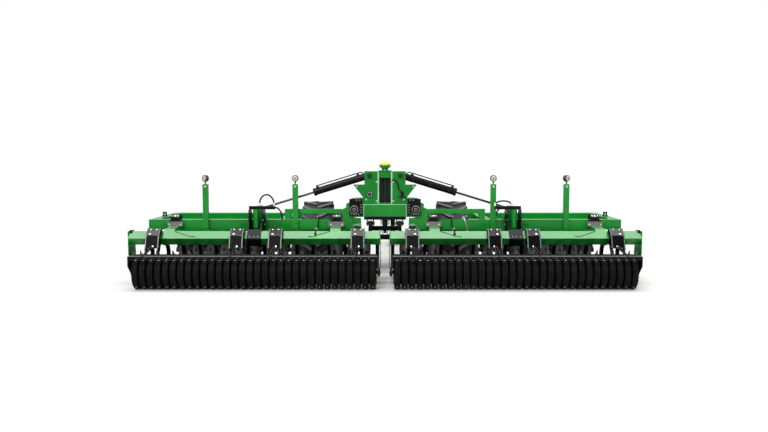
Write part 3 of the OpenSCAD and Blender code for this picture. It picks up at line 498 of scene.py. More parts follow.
def paint(name, colour, wear_and_highlight, roughness, coat, edge=EDGE_WIDTH):
    """Sprayed paint: slow colour drift, orange peel, and paler edges that are partly worn paint and partly painted
    highlight.
    """
    material, tree, shader = new_material(name)
    base = ramp(tree, noise(tree, DRIFT_SCALE), colour, PAINT_TONES)
    edges, soft_normal = edge_mask(tree, edge)
    # The paler colour along edges, in chips: partly worn paint and partly painted highlight
    worn = add_math(tree, "MULTIPLY", edges, noise(tree, CHIP_SCALE, detail=6.0))
    peel = add_bump(tree, {"Strength": 0.05, "Distance": 0.002, "Normal": soft_normal,
                           "Height": noise(tree, PEEL_SCALE, detail=2.0)})
    connect(tree, shader, {
        "Base Color": mix_colour(tree, worn, base, opaque(wear_and_highlight)),
        "Roughness": sheen(tree, noise(tree, SHEEN_SCALE), roughness, PAINT_SHEEN),
        "Normal": peel,
        "Specular IOR Level": 0.0,
        "Coat Weight": coat,
        "Coat Roughness": COAT_ROUGHNESS,
        "Coat Normal": peel,
    })
    return material


def metal(name, colour, roughness, streak_scale=STREAK_SCALE):
    """Bare or plated steel with fine streaks."""
    material, tree, shader = new_material(name)
    mapping = add_node(tree, "ShaderNodeMapping", {"Vector": own_place(tree), "Scale": streak_scale})
    values = {"Vector": mapping.outputs["Vector"], "Scale": 1.0, "Detail": 5.0}
    streaks = add_node(tree, "ShaderNodeTexNoise", values).outputs["Fac"]
    connect(tree, shader, {
        "Base Color": ramp(tree, streaks, colour, METAL_TONES),
        "Roughness": sheen(tree, streaks, roughness, METAL_SHEEN),
        "Metallic": 1.0,
    })
    return material


def above_tread(tree):
    """Zero on the tread and one on the tops of its lugs, by the distance from the wheel's axis."""
    from_axle = add_vector_math(tree, "SUBTRACT", (own_place(tree), (0, WHEEL_Y, WHEEL_Z)))
    across_axle = add_vector_math(tree, "MULTIPLY", (from_axle, (0, 1, 1)))
    distance = add_vector_math(tree, "LENGTH", (across_axle,), "Value")
    return map_range(tree, distance, 0.0, 1.0, TREAD_R, LUG_R)


def rubber(name, colour, roughness, grain, specular=0.2, lug_colour=None):
    """Moulded rubber: dusty patches and a fine grain, and paler lugs on a tyre."""
    material, tree, shader = new_material(name)
    base = ramp(tree, noise(tree, DUST_SCALE, detail=6.0), colour, RUBBER_TONES, start=0.4, end=0.75)
    if lug_colour:
        base = mix_colour(tree, above_tread(tree), base, opaque(lug_colour))
    pores = noise(tree, grain, detail=3.0)
    connect(tree, shader, {
        "Base Color": base,
        "Roughness": sheen(tree, noise(tree, RUBBER_SHEEN_SCALE), roughness, RUBBER_SHEEN),
        "Normal": add_bump(tree, {"Strength": 0.25, "Distance": 0.002, "Height": pores}),
        "Specular IOR Level": specular,
    })
    return material


def plastic(name, colour, roughness, glow=0.0):
    """Moulded plastic with a slight cloudiness."""
    material, tree, shader = new_material(name)
    connect(tree, shader, {
        "Base Color": ramp(tree, noise(tree, CLOUD_SCALE), colour, PLASTIC_TONES),
        "Roughness": roughness,
        "Normal": add_bump(tree, {"Strength": 0.08, "Distance": 0.001, "Height": noise(tree, MOULD_SCALE)}),
    })
    if glow:
        connect(tree, shader, {"Emission Color": opaque(colour), "Emission Strength": glow})
    return material


GREEN_PAINT = paint("green_paint", GREEN, GREEN_WEAR_AND_HIGHLIGHT, roughness=0.33, coat=0.55)
BAR_GREEN = paint("bar_green", GREEN, GREEN_WEAR_AND_HIGHLIGHT, roughness=0.33, coat=0.95)
# The mast and its head plates get a darker green that is painted shade
SHADED_MAST_GREEN = paint("mast_green", shade(GREEN, MAST_SHADE), GREEN_WEAR_AND_HIGHLIGHT, roughness=0.33, coat=0.4)
PIN_GREEN = paint("pin_green", DARK_GREEN, DARK_GREEN_WEAR_AND_HIGHLIGHT, roughness=0.4, coat=0.4)
# Pale green paint that stands for light on edges: painted highlight
HIGHLIGHT_GREEN_PAINT = paint("edge_green", HIGHLIGHT_GREEN, HIGHLIGHT_GREEN_EDGE, roughness=0.4, coat=0.4)
BLACK_PAINT = paint("black_paint", BLACK, BLACK_WEAR_AND_HIGHLIGHT, roughness=0.42, coat=0.2)
CAP_BLACK = paint("cap_black", BLACK, BLACK_WEAR_AND_HIGHLIGHT, roughness=0.42, coat=0.6)
ARM_BLACK = paint("arm_black", BLACK, ARM_WEAR_AND_HIGHLIGHT, roughness=0.45, coat=0.04, edge=ARM_EDGE_WIDTH)
YELLOW_PAINT = paint("yellow_paint", YELLOW, YELLOW_WEAR_AND_HIGHLIGHT, roughness=0.35, coat=0.6)
PLAIN_STEEL = metal("plain_steel", STEEL, roughness=0.36)
ZINC_STEEL = metal("zinc_steel", ZINC, roughness=0.32)
ROD_CHROME = metal("rod_chrome", ROD_GREY, roughness=0.22)
PIN_STEEL = metal("pin_steel", PIN_GREY, roughness=0.4)
PLATE_STEEL = metal("plate_steel", PLATE_GREY, roughness=0.42)
DISC_STEEL = metal("disc_steel", DISC_GREY, roughness=0.36, streak_scale=EVEN_SCALE)
ROLLER_RUBBER = rubber("roller_rubber", ROLLER_BLACK, roughness=0.55, grain=300.0, specular=0.06)
TYRE_RUBBER = rubber("tyre_rubber", TYRE_BLACK, roughness=0.55, grain=220.0, specular=0.3, lug_colour=LUG_TOP)
HOSE_RUBBER = rubber("hose_rubber", HOSE_BLACK, roughness=0.45, grain=500.0)
YELLOW_PLASTIC = plastic("yellow_plastic", YELLOW, roughness=0.28)
GREY_PLASTIC = plastic("grey_plastic", LAMP_GREY, roughness=0.4)
AMBER_LENS = plastic("amber_lens", LENS, roughness=0.15, glow=0.06)

# The finish of each of the record's slots, and of the nodes that differ from their slot
FINISH = {
    "green_paint": GREEN_PAINT, "black_paint": BLACK_PAINT, "plain_steel": PLAIN_STEEL,
    "rod_chrome": ROD_CHROME, "disc_steel": DISC_STEEL, "roller_rubber": ROLLER_RUBBER,
    "tyre": TYRE_RUBBER, "rim_paint": YELLOW_PAINT, "lamp_plastic": GREY_PLASTIC,
    "hose_rubber": HOSE_RUBBER, "yellow_plastic": YELLOW_PLASTIC,
}
NODE_FINISH = {"pins": PIN_STEEL, "mast": SHADED_MAST_GREEN}
for side_word in SIDES:
    NODE_FINISH[f"roller_arms_{side_word}"] = ARM_BLACK
    NODE_FINISH[f"rear_toolbar_{side_word}"] = BAR_GREEN


def dress_nodes():
    """Gives every CAD node its finish."""
    for part in frame["record"]["subparts"]:
        mesh = nodes[part["node"]].data
        mesh.materials.clear()
        mesh.materials.append(NODE_FINISH.get(part["node"], FINISH[part["material_slot"]]))


def at(sign, x, y, z):
    """A place on a wing, given from the centre line, the roller axis and the ground."""
    return Vector((sign * x, ROLLER_Y + y, z))


def mirrored(sign, point):
    """A point or a direction of the right-hand side, on either side."""
    return Vector((sign * point[0], point[1], point[2]))


def circle(count, start=0.0):
    """Cosines and sines of evenly spaced angles, the first one a share of a step round."""
    angles = [2 * math.pi * (k + start) / count for k in range(count)]
    return [(math.cos(angle), math.sin(angle)) for angle in angles]


def placed(place, axis):
    """The matrix that takes +Z to an axis at a place."""
    turn = UP.rotation_difference(Vector(axis)).to_matrix().to_4x4()
    return Matrix.Translation(place) @ turn


def mesh_object(name, bm, material, body, sharp_angle=SHARP_ANGLE):
    """Turns a bmesh into a piece that rides on a body."""
    mesh = bpy.data.meshes.new(name)
    bmesh.ops.recalc_face_normals(bm, faces=bm.faces)
    bm.to_mesh(mesh)
    bm.free()
    for polygon in mesh.polygons:
        polygon.use_smooth = True
    mesh.set_sharp_from_angle(angle=math.radians(sharp_angle))
    mesh.materials.append(material)
    piece = bpy.data.objects.new(name, mesh)
    bpy.context.scene.collection.objects.link(piece)
    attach(piece, body)
    return piece


def skin(bm, rings):
    """Faces between neighbouring rings of points, and over both ends."""
    for low, high in zip(rings, rings[1:]):
        for k in range(len(low)):
            after = (k + 1) % len(low)
            bm.faces.new((low[k], low[after], high[after], high[k]))
    bm.faces.new(list(reversed(rings[0])))
    bm.faces.new(rings[-1])


def add_revolved(bm, profile, place, axis, sides):
    """Revolves (radius, height) points about an axis at a place, closed at both ends."""
    matrix = placed(place, axis)
    rings = []
    for radius, height in profile:
        points = [Vector((radius * cos, radius * sin, height)) for cos, sin in circle(sides)]
        rings.append([bm.verts.new(matrix @ point) for point in points])
    skin(bm, rings)


def add_ring(bm, profile, place, axis, sides=RING_SIDES):
    """Revolves a closed (radius, height) outline that doesn't reach the axis."""
    matrix = placed(place, axis)
    turns = []
    for cos, sin in circle(sides):
        points = [Vector((radius * cos, radius * sin, height)) for radius, height in profile]
        turns.append([bm.verts.new(matrix @ point) for point in points])
    for this, after in zip(turns, turns[1:] + turns[:1]):
        for i in range(len(profile)):
            beside = (i + 1) % len(profile)
            bm.faces.new((this[i], after[i], after[beside], this[beside]))


def add_tube(bm, points, r, sides=THIN_SIDES):
    """A round tube swept through points, closed at both ends."""
    points = [Vector(point) for point in points]
    across = (points[1] - points[0]).orthogonal()
    rings = []
    for i, point in enumerate(points):
        ahead = (points[min(i + 1, len(points) - 1)] - points[max(i - 1, 0)]).normalized()
        across = (across - ahead * across.dot(ahead)).normalized()
        other = ahead.cross(across)
        rings.append([bm.verts.new(point + r * (cos * across + sin * other)) for cos, sin in circle(sides)])
    skin(bm, rings)


def rounded(corners, radius, steps=6):
    """A path through corners, each turned into an arc."""
    path = [corners[0]]
    for before, corner, after in zip(corners, corners[1:], corners[2:]):
        back = (before - corner).normalized()
        ahead = (after - corner).normalized()
        half = back.angle(ahead) / 2
        middle = corner + (back + ahead).normalized() * radius / math.sin(half)
        start = (corner + back * radius / math.tan(half) - middle).normalized()
        end = (corner + ahead * radius / math.tan(half) - middle).normalized()
        path += [middle + radius * start.slerp(end, i / steps) for i in range(steps + 1)]
    path.append(corners[-1])
    return path


def add_box(bm, low, high, bevel):
    """A box between two opposite corners, with rounded edges."""
    low, high = Vector(low), Vector(high)
    size = high - low
    middle = (low + high) / 2
    made = bmesh.ops.create_cube(bm, size=1.0)
    for vert in made["verts"]:
        vert.co = middle + Vector([vert.co[i] * abs(size[i]) for i in range(3)])
    edges = {edge for vert in made["verts"] for edge in vert.link_edges}
    bmesh.ops.bevel(bm, geom=list(edges), offset=bevel, segments=2, affect="EDGES")


def add_wing_box(bm, sign, x, y, z, bevel):
    """A box on a wing, given by its ranges in x, y and z."""
    near, far = zip(x, y, z)
    add_box(bm, at(sign, *near), at(sign, *far), bevel)


def add_plate(bm, sign, face, plate, x=0.0):
    """A plate that stands out behind a face, with its x taken from the given one."""
    low = (sign * (x + plate.x[0]), face - plate.thickness, plate.z[0])
    high = (sign * (x + plate.x[1]), face, plate.z[1])
    add_box(bm, low, high, plate.bevel)


def add_slab(bm, edge_a, edge_b, half, depth):
    """A plate between two points, half wide to each side in X and as thick as the vector depth."""
    corners = []
    for point in (edge_a, edge_b):
        for dx in (-half, half):
            for shift in (Vector(), depth):
                corners.append(bm.verts.new(point + Vector((dx, 0, 0)) + shift))
    for face in ((0, 1, 3, 2), (4, 6, 7, 5), (0, 4, 5, 1), (2, 3, 7, 6), (0, 2, 6, 4), (1, 5, 7, 3)):
        bm.faces.new([corners[i] for i in face])


def bolts(name, places, r, body, material=ZINC_STEEL):
    """One piece that holds many bolts with washers, given as (place, axis) pairs."""
    bm = bmesh.new()
    for place, axis in places:
        for profile, sides in ((WASHER, PIN_SIDES), (BOLT_HEAD, HEXAGON)):
            scaled = [(radius * r, height * r) for radius, height in profile]
            add_revolved(bm, scaled, place, axis, sides)
    return mesh_object(name, bm, material, body, BOLT_SHARP_ANGLE)


def hinge_trim():
    """Bolts and worn rings on the black hinge covers."""
    places = []
    rings = bmesh.new()
    for sign in SIDES.values():
        places += [((sign * x, COVER_BACK, z), BACK) for x, z in COVER_SPOTS]
        for outer, inner, height in COVER_RINGS:
            rim = [(outer - RING_CHAMFER, height), (outer, height - RING_CHAMFER), (outer, 0)]
            outline = [(inner, 0), (inner, height), *rim]
            add_ring(rings, outline, (sign * PIN_X, COVER_BACK, PIN_Z), BACK)
    bolts("hinge_bolts", places, COVER_BOLT_R, "centre", PLATE_STEEL)
    mesh_object("hinge_rings", rings, PLATE_STEEL, "centre")


def mast_trim():
    """The mast's bolts, hub, hose block, head plates in painted shade, rails of painted highlight and pin caps."""
    places = [((sign * x, MAST_BACK, z), BACK) for sign in SIDES.values() for x, z in MAST_SPOTS]
    bolts("mast_bolts", places, MAST_BOLT_R, "centre")
    hub_face = MAST_HUB + MAST_HUB_FACE * BACK
    hub_places = []
    for cos, sin in circle(MAST_HUB_BOLTS):
        hub_places.append((hub_face + MAST_HUB_CIRCLE * Vector((cos, 0, sin)), BACK))
    bolts("mast_hub_bolts", hub_places, MAST_HUB_BOLT_R, "centre")
    fittings = bmesh.new()
    add_revolved(fittings, MAST_HUB_PROFILE, MAST_HUB, BACK, LARGE_SIDES)
    add_plate(fittings, SIDES["right"], MAST_BACK, HOSE_BLOCK)
    add_plate(fittings, SIDES["right"], MAST_BACK, HOSE_BRACKET)
    mesh_object("mast_fittings", fittings, BLACK_PAINT, "centre")
    head, rails, caps = bmesh.new(), bmesh.new(), bmesh.new()
    for sign in SIDES.values():
        add_plate(head, sign, MAST_BACK, HEAD_PLATE)
        add_plate(rails, sign, MAST_BACK, HIGHLIGHT_RAIL)
        pin_end = (sign * MAST_PIN_X, MAST_BACK - HEAD_PLATE.thickness, MAST_PIN_Z)
        add_revolved(caps, PIN_CAP_PROFILE, pin_end, BACK, LARGE_SIDES)
    # The head plates take the mast's darker green, painted shade
    mesh_object("mast_head_plates", head, SHADED_MAST_GREEN, "centre")
    # The rails are pale strips of painted highlight
    mesh_object("mast_rails", rails, HIGHLIGHT_GREEN_PAINT, "centre")
    mesh_object("mast_pin_caps", caps, PIN_GREEN, "centre")


def beam_trim():
    """A dark block of painted shade under the rear cross beam, and pale strips of painted highlight along the
    edges of the beam's rear face.
    """
    # A black box put under the beam as painted shade
    channel = bmesh.new()
    half_x, half_y = SHADE_BLOCK_HALF
    low = (-half_x, REAR_Y - half_y, SHADE_BLOCK_Z[0])
    high = (half_x, REAR_Y + half_y, SHADE_BLOCK_Z[1])
    add_box(channel, low, high, SHADE_BLOCK_BEVEL)
    mesh_object("beam_channel", channel, BLACK_PAINT, "centre")
    # Pale strips along the face's edges as painted highlight
    edges = bmesh.new()
    face = BEAM_BACK + HIGHLIGHT_SUNK
    add_plate(edges, SIDES["right"], face, TOP_HIGHLIGHT)
    for sign in SIDES.values():
        add_plate(edges, sign, face, END_HIGHLIGHT)
    mesh_object("beam_edges", edges, HIGHLIGHT_GREEN_PAINT, "centre")


def jack_trim():
    """A grip on the jack's handle and bolts on its bracket."""
    middle_y = (JACK_LOW.y + JACK_HIGH.y) / 2
    grip = bmesh.new()
    start = (JACK_HIGH.x - GRIP_IN, middle_y, GRIP_Z)
    add_revolved(grip, GRIP_PROFILE, start, Vector((1, 0, 0)), SMALL_SIDES)
    mesh_object("jack_grip", grip, HOSE_RUBBER, "centre")
    bracket_x, bracket_z = JACK_BRACKET
    places = [((bracket_x, middle_y + dy, bracket_z), UP) for dy in (-JACK_BOLT_OFF, JACK_BOLT_OFF)]
    bolts("jack_bolts", places, JACK_BOLT_R, "centre")


def rear_facing(upper, lower):
    """The direction that a plate faces, between two points of its outline seen from the side."""
    return Vector((0, lower.z - upper.z, upper.y - lower.y)).normalized()


def roller_arm_trim(side, sign):
    """Bent caps over the toolbar, pale strips of painted highlight along the plates' edges, and bolts on the caps,
    ties and plates of the roller arms.
    """
    body = f"wing_{side}"
    cap_facing = rear_facing(ARM_CROWN, ARM_BEND)
    tie_facing = rear_facing(ARM_BEND, ARM_LOW)
    cap_high = ARM_CROWN.lerp(ARM_BEND, CAP_BOLTS_DOWN)
    cap_low = ARM_CROWN.lerp(ARM_BEND, CAP_PIN_DOWN)
    tie_low = ARM_BEND.lerp(ARM_LOW, TIE_BOLT_DOWN)
    caps, edges = bmesh.new(), bmesh.new()
    small, large, side_bolts = [], [], []
    for x in ROLLER_ARM_X:
        ends = at(sign, x, *ARM_CROWN.yz), at(sign, x, *ARM_BEND.yz)
        add_slab(caps, *ends, ARM_CAP_HALF, -ARM_CAP_T * cap_facing)
        small += [(at(sign, x + dx, *cap_high.yz), cap_facing) for dx in (-CAP_BOLT_OFF, CAP_BOLT_OFF)]
        large.append((at(sign, x + CAP_PIN_OFF, *cap_low.yz), cap_facing))
        small.append((at(sign, x + TIE_BOLT_OFF, *tie_low.yz), tie_facing))
        for toward in (-1, 1):
            for y, z in ARM_SIDE_SPOTS:
                spot = at(sign, x + toward * ARM_PLATE_OUT, REAR_BAR_Y + y, BAR_Z + z)
                side_bolts.append((spot, Vector((sign * toward, 0, 0))))
            # A pale steel strip along each plate's edge, as painted highlight
            plate_x = x + toward * ARM_PLATE_X
            for a, b, facing in ((ARM_CROWN, ARM_BEND, cap_facing), (ARM_BEND, ARM_LOW, tie_facing)):
                ends = at(sign, plate_x, *a.yz), at(sign, plate_x, *b.yz)
                add_slab(edges, *ends, ARM_HIGHLIGHT_HALF, ARM_HIGHLIGHT_T * facing)
    mesh_object(f"roller_arm_highlights_{side}", edges, PIN_STEEL, body)
    mesh_object(f"roller_arm_caps_{side}", caps, CAP_BLACK, body)
    bolts(f"roller_arm_bolts_{side}", small, ARM_BOLT_R, body)
    bolts(f"roller_arm_pins_{side}", large, ARM_PIN_R, body)
    bolts(f"roller_arm_side_bolts_{side}", side_bolts, ARM_SIDE_BOLT_R, body, PLATE_STEEL)


def clamp_trim(side, sign):
    """Bright plates and fanned bolts on the saddle clamps."""
    plates = bmesh.new()
    places = []
    for x in BOX_ARM_X:
        for plate in (CLAMP_PLATE, CLAMP_RIM):
            add_plate(plates, sign, ROLLER_Y + CLAMP_BACK, plate, x)
        bolt_y = CLAMP_BACK - CLAMP_PLATE.thickness
        for dx in (-CLAMP_BOLT_OFF, CLAMP_BOLT_OFF):
            places.append((at(sign, x + dx, bolt_y, CLAMP_BOLT_Z), BACK))
        for fan in (-1, 0, 1):
            axis = UPPER_BACK + Vector((sign * fan * FAN_LEAN, 0, 0))
            places.append((at(sign, x + fan * FAN_OFF, FAN_Y, FAN_Z), axis))
    mesh_object(f"clamp_plates_{side}", plates, PLATE_STEEL, f"wing_{side}")
    bolts(f"clamp_bolts_{side}", places, CLAMP_BOLT_R, f"wing_{side}")


def depth_trim(side, sign):
    """Bolts of the depth control, and the ends of its arched hose and of its feed."""
    body = f"wing_{side}"
    row_places = [(at(sign, DEPTH_X[0] + dx, *DEPTH_ROW), UPPER_BACK) for dx in DEPTH_ROW_X]
    bolts(f"depth_row_bolts_{side}", row_places, DEPTH_ROW_BOLT_R, body, PLATE_STEEL)
    places = []
    for x, toward in zip(DEPTH_X, (-1, 1)):
        places += [(at(sign, x, y, z), Vector((sign * toward, 0, 0))) for y, z in DEPTH_SPOTS]
    bolts(f"depth_bolts_{side}", places, DEPTH_BOLT_R, body)
    ends = bmesh.new()
    half = ARCH_HALF[side]
    for x in (ARCH_MIDDLE - half, ARCH_MIDDLE + half):
        add_revolved(ends, HOSE_END_PROFILE, at(sign, x, ARCH_Y, DEPTH_TOP), UP, SMALL_SIDES)
    add_revolved(ends, HOSE_END_PROFILE, at(sign, FEED_X[side], FEED_Y, WING_TOP), UP, SMALL_SIDES)
    mesh_object(f"hose_ends_{side}", ends, ZINC_STEEL, body)


def post_trim(side, sign):
    """Bolts at the top and the foot of each lamp post."""
    tops = [(at(sign, x, POST_BACK, POST_TOP_Z), BACK) for x in POST_X[side]]
    feet = [(at(sign, x, POST_BACK, z), BACK) for x in POST_X[side] for z in POST_FOOT_Z]
    bolts(f"post_bolts_{side}", tops, POST_BOLT_R, f"wing_{side}")
    bolts(f"post_foot_bolts_{side}", feet, POST_BOLT_R, f"wing_{side}", GREEN_PAINT)


def lamp_trim(side, sign):
    """Round lamps with a bezel and a lens front and back, in place of the plain solids."""
    bodies, lenses = bmesh.new(), bmesh.new()
    for x, angle in zip(POST_X[side], (0.0, LAMP_TURN)):
        middle = at(sign, x, LAMP_Y, LAMP_Z)
        for facing in (-1, 1):
            axis = Vector((-sign * facing * math.sin(angle), facing * math.cos(angle), 0))
            add_revolved(bodies, LAMP_SHELL, middle, axis, LARGE_SIDES)
            add_revolved(lenses, LAMP_GLASS, middle, axis, LARGE_SIDES)
            add_revolved(bodies, LAMP_STUD, middle, axis, SMALL_SIDES)
    body = mesh_object(f"lamp_bodies_{side}", bodies, GREY_PLASTIC, f"wing_{side}")
    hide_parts(f"lamps_{side}")
    mesh_object(f"lamp_lenses_{side}", lenses, AMBER_LENS, f"wing_{side}")


def shield_trim(side, sign):
    """Bolts along the shields, the knob above the outer one and the bracket on the wing's outer tube."""
    places = []
    for x, toward in zip(SHIELD_X, (-1, 1)):
        places += [(at(sign, x, y, z), Vector((sign * toward, 0, 0))) for y, z in SHIELD_SPOTS]
    bolts(f"shield_bolts_{side}", places, SHIELD_BOLT_R, f"wing_{side}")
    brackets = bmesh.new()
    add_revolved(brackets, KNOB_PROFILE, at(sign, *KNOB), UP, SMALL_SIDES)
    add_wing_box(brackets, sign, *CORNER_BASE, CORNER_BEVEL)
    for x in CORNER_LUG_X:
        add_wing_box(brackets, sign, (x, x + CORNER_LUG_T), CORNER_LUG_Y, CORNER_LUG_Z, CORNER_BEVEL)
    add_revolved(brackets, CORNER_PIN_PROFILE, at(sign, *CORNER_PIN), Vector((sign, 0, 0)), PIN_SIDES)
    mesh_object(f"corner_brackets_{side}", brackets, BLACK_PAINT, f"wing_{side}")


def wheel_trim(side, sign):
    """Wheel nuts and a hub cap on each rim."""
    outward = Vector((sign, 0, 0))
    middle = Vector((sign * WHEEL_NUT_X, WHEEL_Y, WHEEL_Z))
    places = []
    for cos, sin in circle(WHEEL_NUTS):
        places.append((middle + WHEEL_NUT_CIRCLE * Vector((0, cos, sin)), outward))
    bolts(f"wheel_nuts_{side}", places, WHEEL_NUT_R, f"wheel_{side}")
    cap = bmesh.new()
    add_revolved(cap, HUB_CAP_PROFILE, (sign * HUB_CAP_X, WHEEL_Y, WHEEL_Z), outward, LARGE_SIDES)
    mesh_object(f"hub_cap_{side}", cap, PLATE_STEEL, f"wheel_{side}")


def disc_trim(side, sign):
    """Four bolts on the hub of every disc."""
    for row, (first, bar_y, count, toward) in DISC_ROWS.items():
        axis = Vector((toward * math.cos(DISC_ANGLE), -math.sin(DISC_ANGLE), 0))
        across = Vector((-axis.y, axis.x, 0))
        places = []
        for i in range(count):
            hub = Vector((first + i * DISC_PITCH, ROLLER_Y + bar_y + DISC_AHEAD, DISC_Z))
            face = hub + DISC_BOLT_FACE * axis
            for cos, sin in circle(DISC_BOLTS, start=0.5):
                spot = face + DISC_BOLT_CIRCLE * (cos * across + sin * UP)
                places.append((mirrored(sign, spot), mirrored(sign, axis)))
        bolts(f"{row}_disc_bolts_{side}", places, DISC_BOLT_R, f"wing_{side}", PLATE_STEEL)


def add_scraper_highlights(bm, sign):
    """Pale strips of painted highlight along the top of the scraper bar, with gaps for the straps of the roller
    arms.
    """
    ends = [SCRAPER_ENDS[0]]
    for x in ROLLER_ARM_X:
        ends += [x - STRAP_CLEAR, x + STRAP_CLEAR]
    ends.append(SCRAPER_ENDS[1])
    for span in zip(ends[0::2], ends[1::2]):
        add_wing_box(bm, sign, span, HIGHLIGHT_STRIP_Y, HIGHLIGHT_STRIP_Z, HIGHLIGHT_STRIP_BEVEL)


def roller_trim(side, sign):
    """Bolts and pale strips of painted highlight on the scraper bar, studs on the rings, and the bearings' bolts.
    """
    body = f"wing_{side}"
    finger_x = [RING_ENDS[0] + k * RING_PITCH for k in range(1, RING_N)]
    places = [(at(sign, x, SCRAPER_BACK, SCRAPER_Z), BACK) for x in finger_x]
    bolts(f"scraper_bolts_{side}", places, SCRAPER_BOLT_R, body, PIN_STEEL)
    # Pale strips that are painted highlight along the bar's top
    strips = bmesh.new()
    add_scraper_highlights(strips, sign)
    mesh_object(f"scraper_highlights_{side}", strips, PLATE_STEEL, body)
    studs = bmesh.new()
    for k in range(RING_N):
        ring_middle = at(sign, RING_ENDS[0] + (k + 0.5) * RING_PITCH, 0, ROLLER_R)
        for turn in STUD_TURNS:
            axis = Vector((0, -math.cos(turn), math.sin(turn)))
            add_revolved(studs, STUD_PROFILE, ring_middle + (ROLLER_R - STUD_SUNK) * axis, axis, THIN_SIDES)
    mesh_object(f"ring_studs_{side}", studs, ZINC_STEEL, f"roller_{side}")
    bearing_places = []
    for x, toward in zip(BEARING_X, (-1, 1)):
        for cos, sin in circle(BEARING_BOLTS, start=0.5):
            spot = at(sign, x, BEARING_CIRCLE * cos, ROLLER_R + BEARING_CIRCLE * sin)
            bearing_places.append((spot, Vector((sign * toward, 0, 0))))
    bolts(f"bearing_bolts_{side}", bearing_places, BEARING_BOLT_R, body)


def cylinder_trim(side, sign):
    """Unions, a pipe and bands on the fold barrel, and pin heads on the lugs of its rod."""
    along = Vector(joints[f"fold_rod_{side}_slide"]["axis"])
    over = Vector((-sign * along.z, 0, sign * along.x))
    start = Vector((sign * MAST_PIN_X, REAR_Y, MAST_PIN_Z))
    bm = bmesh.new()
    for reach in UNION_ALONG:
        add_revolved(bm, UNION_PROFILE, start + reach * along + UNION_OFF * over, over, HEXAGON)
    add_tube(bm, [start + reach * along + off * over for reach, off in BARREL_PIPE], PIPE_R)
    for reach in BAND_ALONG:
        add_ring(bm, BAND_PROFILE, start + reach * along, along)
    mesh_object(f"barrel_unions_{side}", bm, BLACK_PAINT, f"fold_barrel_{side}")
    pin_x, pin_z = ROD_PIN
    places = []
    for toward in (-1, 1):
        places.append(((sign * pin_x, REAR_Y + toward * ROD_PIN_HALF, pin_z), Vector((0, toward, 0))))
    bolts(f"rod_pin_heads_{side}", places, ROD_PIN_R, f"wing_{side}")


def add_pipe(bm, sign, route):
    """A bent steel pipe through the corners of its route."""
    add_tube(bm, rounded([at(sign, *corner) for corner in route], PIPE_BEND), PIPE_R)


def add_fitting(bm, sign, x, surface, toward):
    """A block on the rear tube, on its top or under it, that a pipe goes into."""
    z = (surface, surface + toward * FITTING_H)
    add_wing_box(bm, sign, (x - FITTING_HALF, x + FITTING_HALF), FITTING_Y, z, FITTING_BEVEL)


def drop_trim(side, sign):
    """A steel pipe over the rear tube to the toolbar, and on the right a bright one round the tube."""
    body = f"wing_{side}"
    drop = bmesh.new()
    add_pipe(drop, sign, DROP_ROUTE)
    add_fitting(drop, sign, DROP_X, WING_TOP, 1)
    add_revolved(drop, DROP_UNION_PROFILE, at(sign, *DROP_UNION), UPPER_BACK, HEXAGON)
    mesh_object(f"drop_pipe_{side}", drop, BLACK_PAINT, body)
    clip = bmesh.new()
    add_ring(clip, CLIP_PROFILE, at(sign, *CLIP), BACK, SMALL_SIDES)
    add_revolved(clip, CLIP_STEM_PROFILE, at(sign, *CLIP_FOOT), UP, THIN_SIDES)
    mesh_object(f"drop_clip_{side}", clip, ZINC_STEEL, body)
    if side == "right":
        bright = bmesh.new()
        add_pipe(bright, sign, BRIGHT_ROUTE)
        add_fitting(bright, sign, BRIGHT_TOP_X, WING_TOP, 1)
        add_fitting(bright, sign, BRIGHT_LOW_X, TUBE_LOW, -1)
        mesh_object("bright_pipe", bright, ZINC_STEEL, body)


def seen_rays(tree):
    """One for camera, glossy and transmission rays, and zero for the light on the object."""
    path = tree.nodes.new("ShaderNodeLightPath")
    seen = path.outputs["Is Camera Ray"]
    for kind in ("Is Glossy Ray", "Is Transmission Ray"):
        seen = add_math(tree, "MAXIMUM", seen, path.outputs[kind])
    return seen


def white_world(scene):
    """A world that is seen as white and lights the object at a plain level."""
    world = bpy.data.worlds.new("studio")
    scene.world = world
    world.use_nodes = True
    tree = world.node_tree
    strength = map_range(tree, seen_rays(tree), WORLD_LIGHT, 1.0)
    connect(tree, tree.nodes["Background"], {"Color": opaque(WHITE), "Strength": strength})


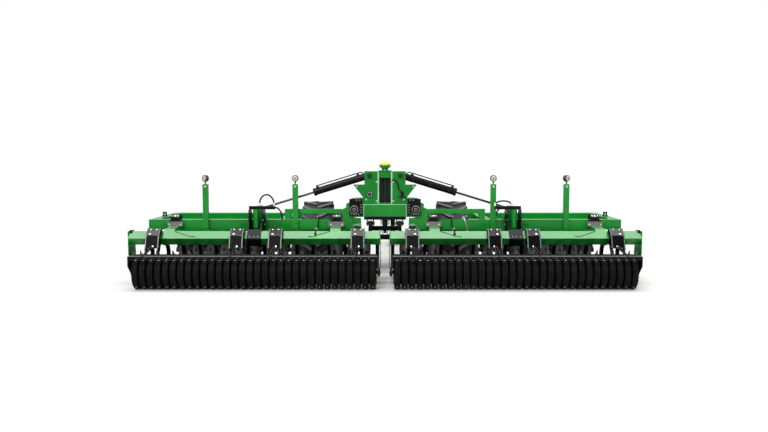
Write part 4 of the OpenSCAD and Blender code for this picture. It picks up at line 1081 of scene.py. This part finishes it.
def white_floor(scene):
    """A pale floor that keeps the object's shadow."""
    mesh = bpy.data.meshes.new("floor")
    corners = [(-FLOOR_HALF, -FLOOR_HALF, 0), (FLOOR_HALF, -FLOOR_HALF, 0),
               (FLOOR_HALF, FLOOR_HALF, 0), (-FLOOR_HALF, FLOOR_HALF, 0)]
    mesh.from_pydata(corners, [], [(0, 1, 2, 3)])
    floor = bpy.data.objects.new("floor", mesh)
    scene.collection.objects.link(floor)
    material, tree, shader = new_material("floor")
    connect(tree, shader, {
        "Base Color": opaque(FLOOR_COLOUR),
        "Roughness": 0.9,
        "Specular IOR Level": 0.0,
        "Emission Color": opaque(WHITE),
        "Emission Strength": add_math(tree, "MULTIPLY", seen_rays(tree), FLOOR_LIFT),
    })
    mesh.materials.append(material)


def studio_lamps(scene):
    """Soft suns from above and from the side of the camera."""
    for name, power, angle, direction in LAMPS:
        lamp = bpy.data.lights.new(name, "SUN")
        lamp.energy = power
        lamp.angle = math.radians(angle)
        holder = bpy.data.objects.new(name, lamp)
        holder.rotation_euler = Vector(direction).to_track_quat("-Z", "Y").to_euler()
        scene.collection.objects.link(holder)


def photo_camera(scene):
    """The camera of the photograph, straight behind the object."""
    data = bpy.data.cameras.new("camera")
    data.sensor_width = SENSOR_MM
    data.lens = SENSOR_MM * FOCAL_PX / PHOTO_W
    data.shift_x = (PHOTO_W / 2 - MIDDLE_PX) / PHOTO_W
    data.clip_end = CAMERA_REACH
    camera = bpy.data.objects.new("camera", data)
    camera.location = (0.0, ROLLER_Y - CAMERA_BACK, CAMERA_UP)
    pitch = math.atan((PHOTO_H / 2 - HORIZON_PX) / FOCAL_PX)
    camera.rotation_euler = (math.pi / 2 - pitch, 0, 0)
    scene.collection.objects.link(camera)
    scene.camera = camera


def studio():
    """The white studio and the photograph's camera."""
    scene = bpy.context.scene
    scene.view_settings.view_transform = "Standard"
    white_world(scene)
    white_floor(scene)
    studio_lamps(scene)
    photo_camera(scene)


WING_TRIMS = (roller_arm_trim, clamp_trim, depth_trim, post_trim, lamp_trim, shield_trim, wheel_trim,
              disc_trim, roller_trim, cylinder_trim, drop_trim)

dress_nodes()
hinge_trim()
mast_trim()
beam_trim()
jack_trim()
for side_name, side_sign in SIDES.items():
    for trim in WING_TRIMS:
        trim(side_name, side_sign)
studio()
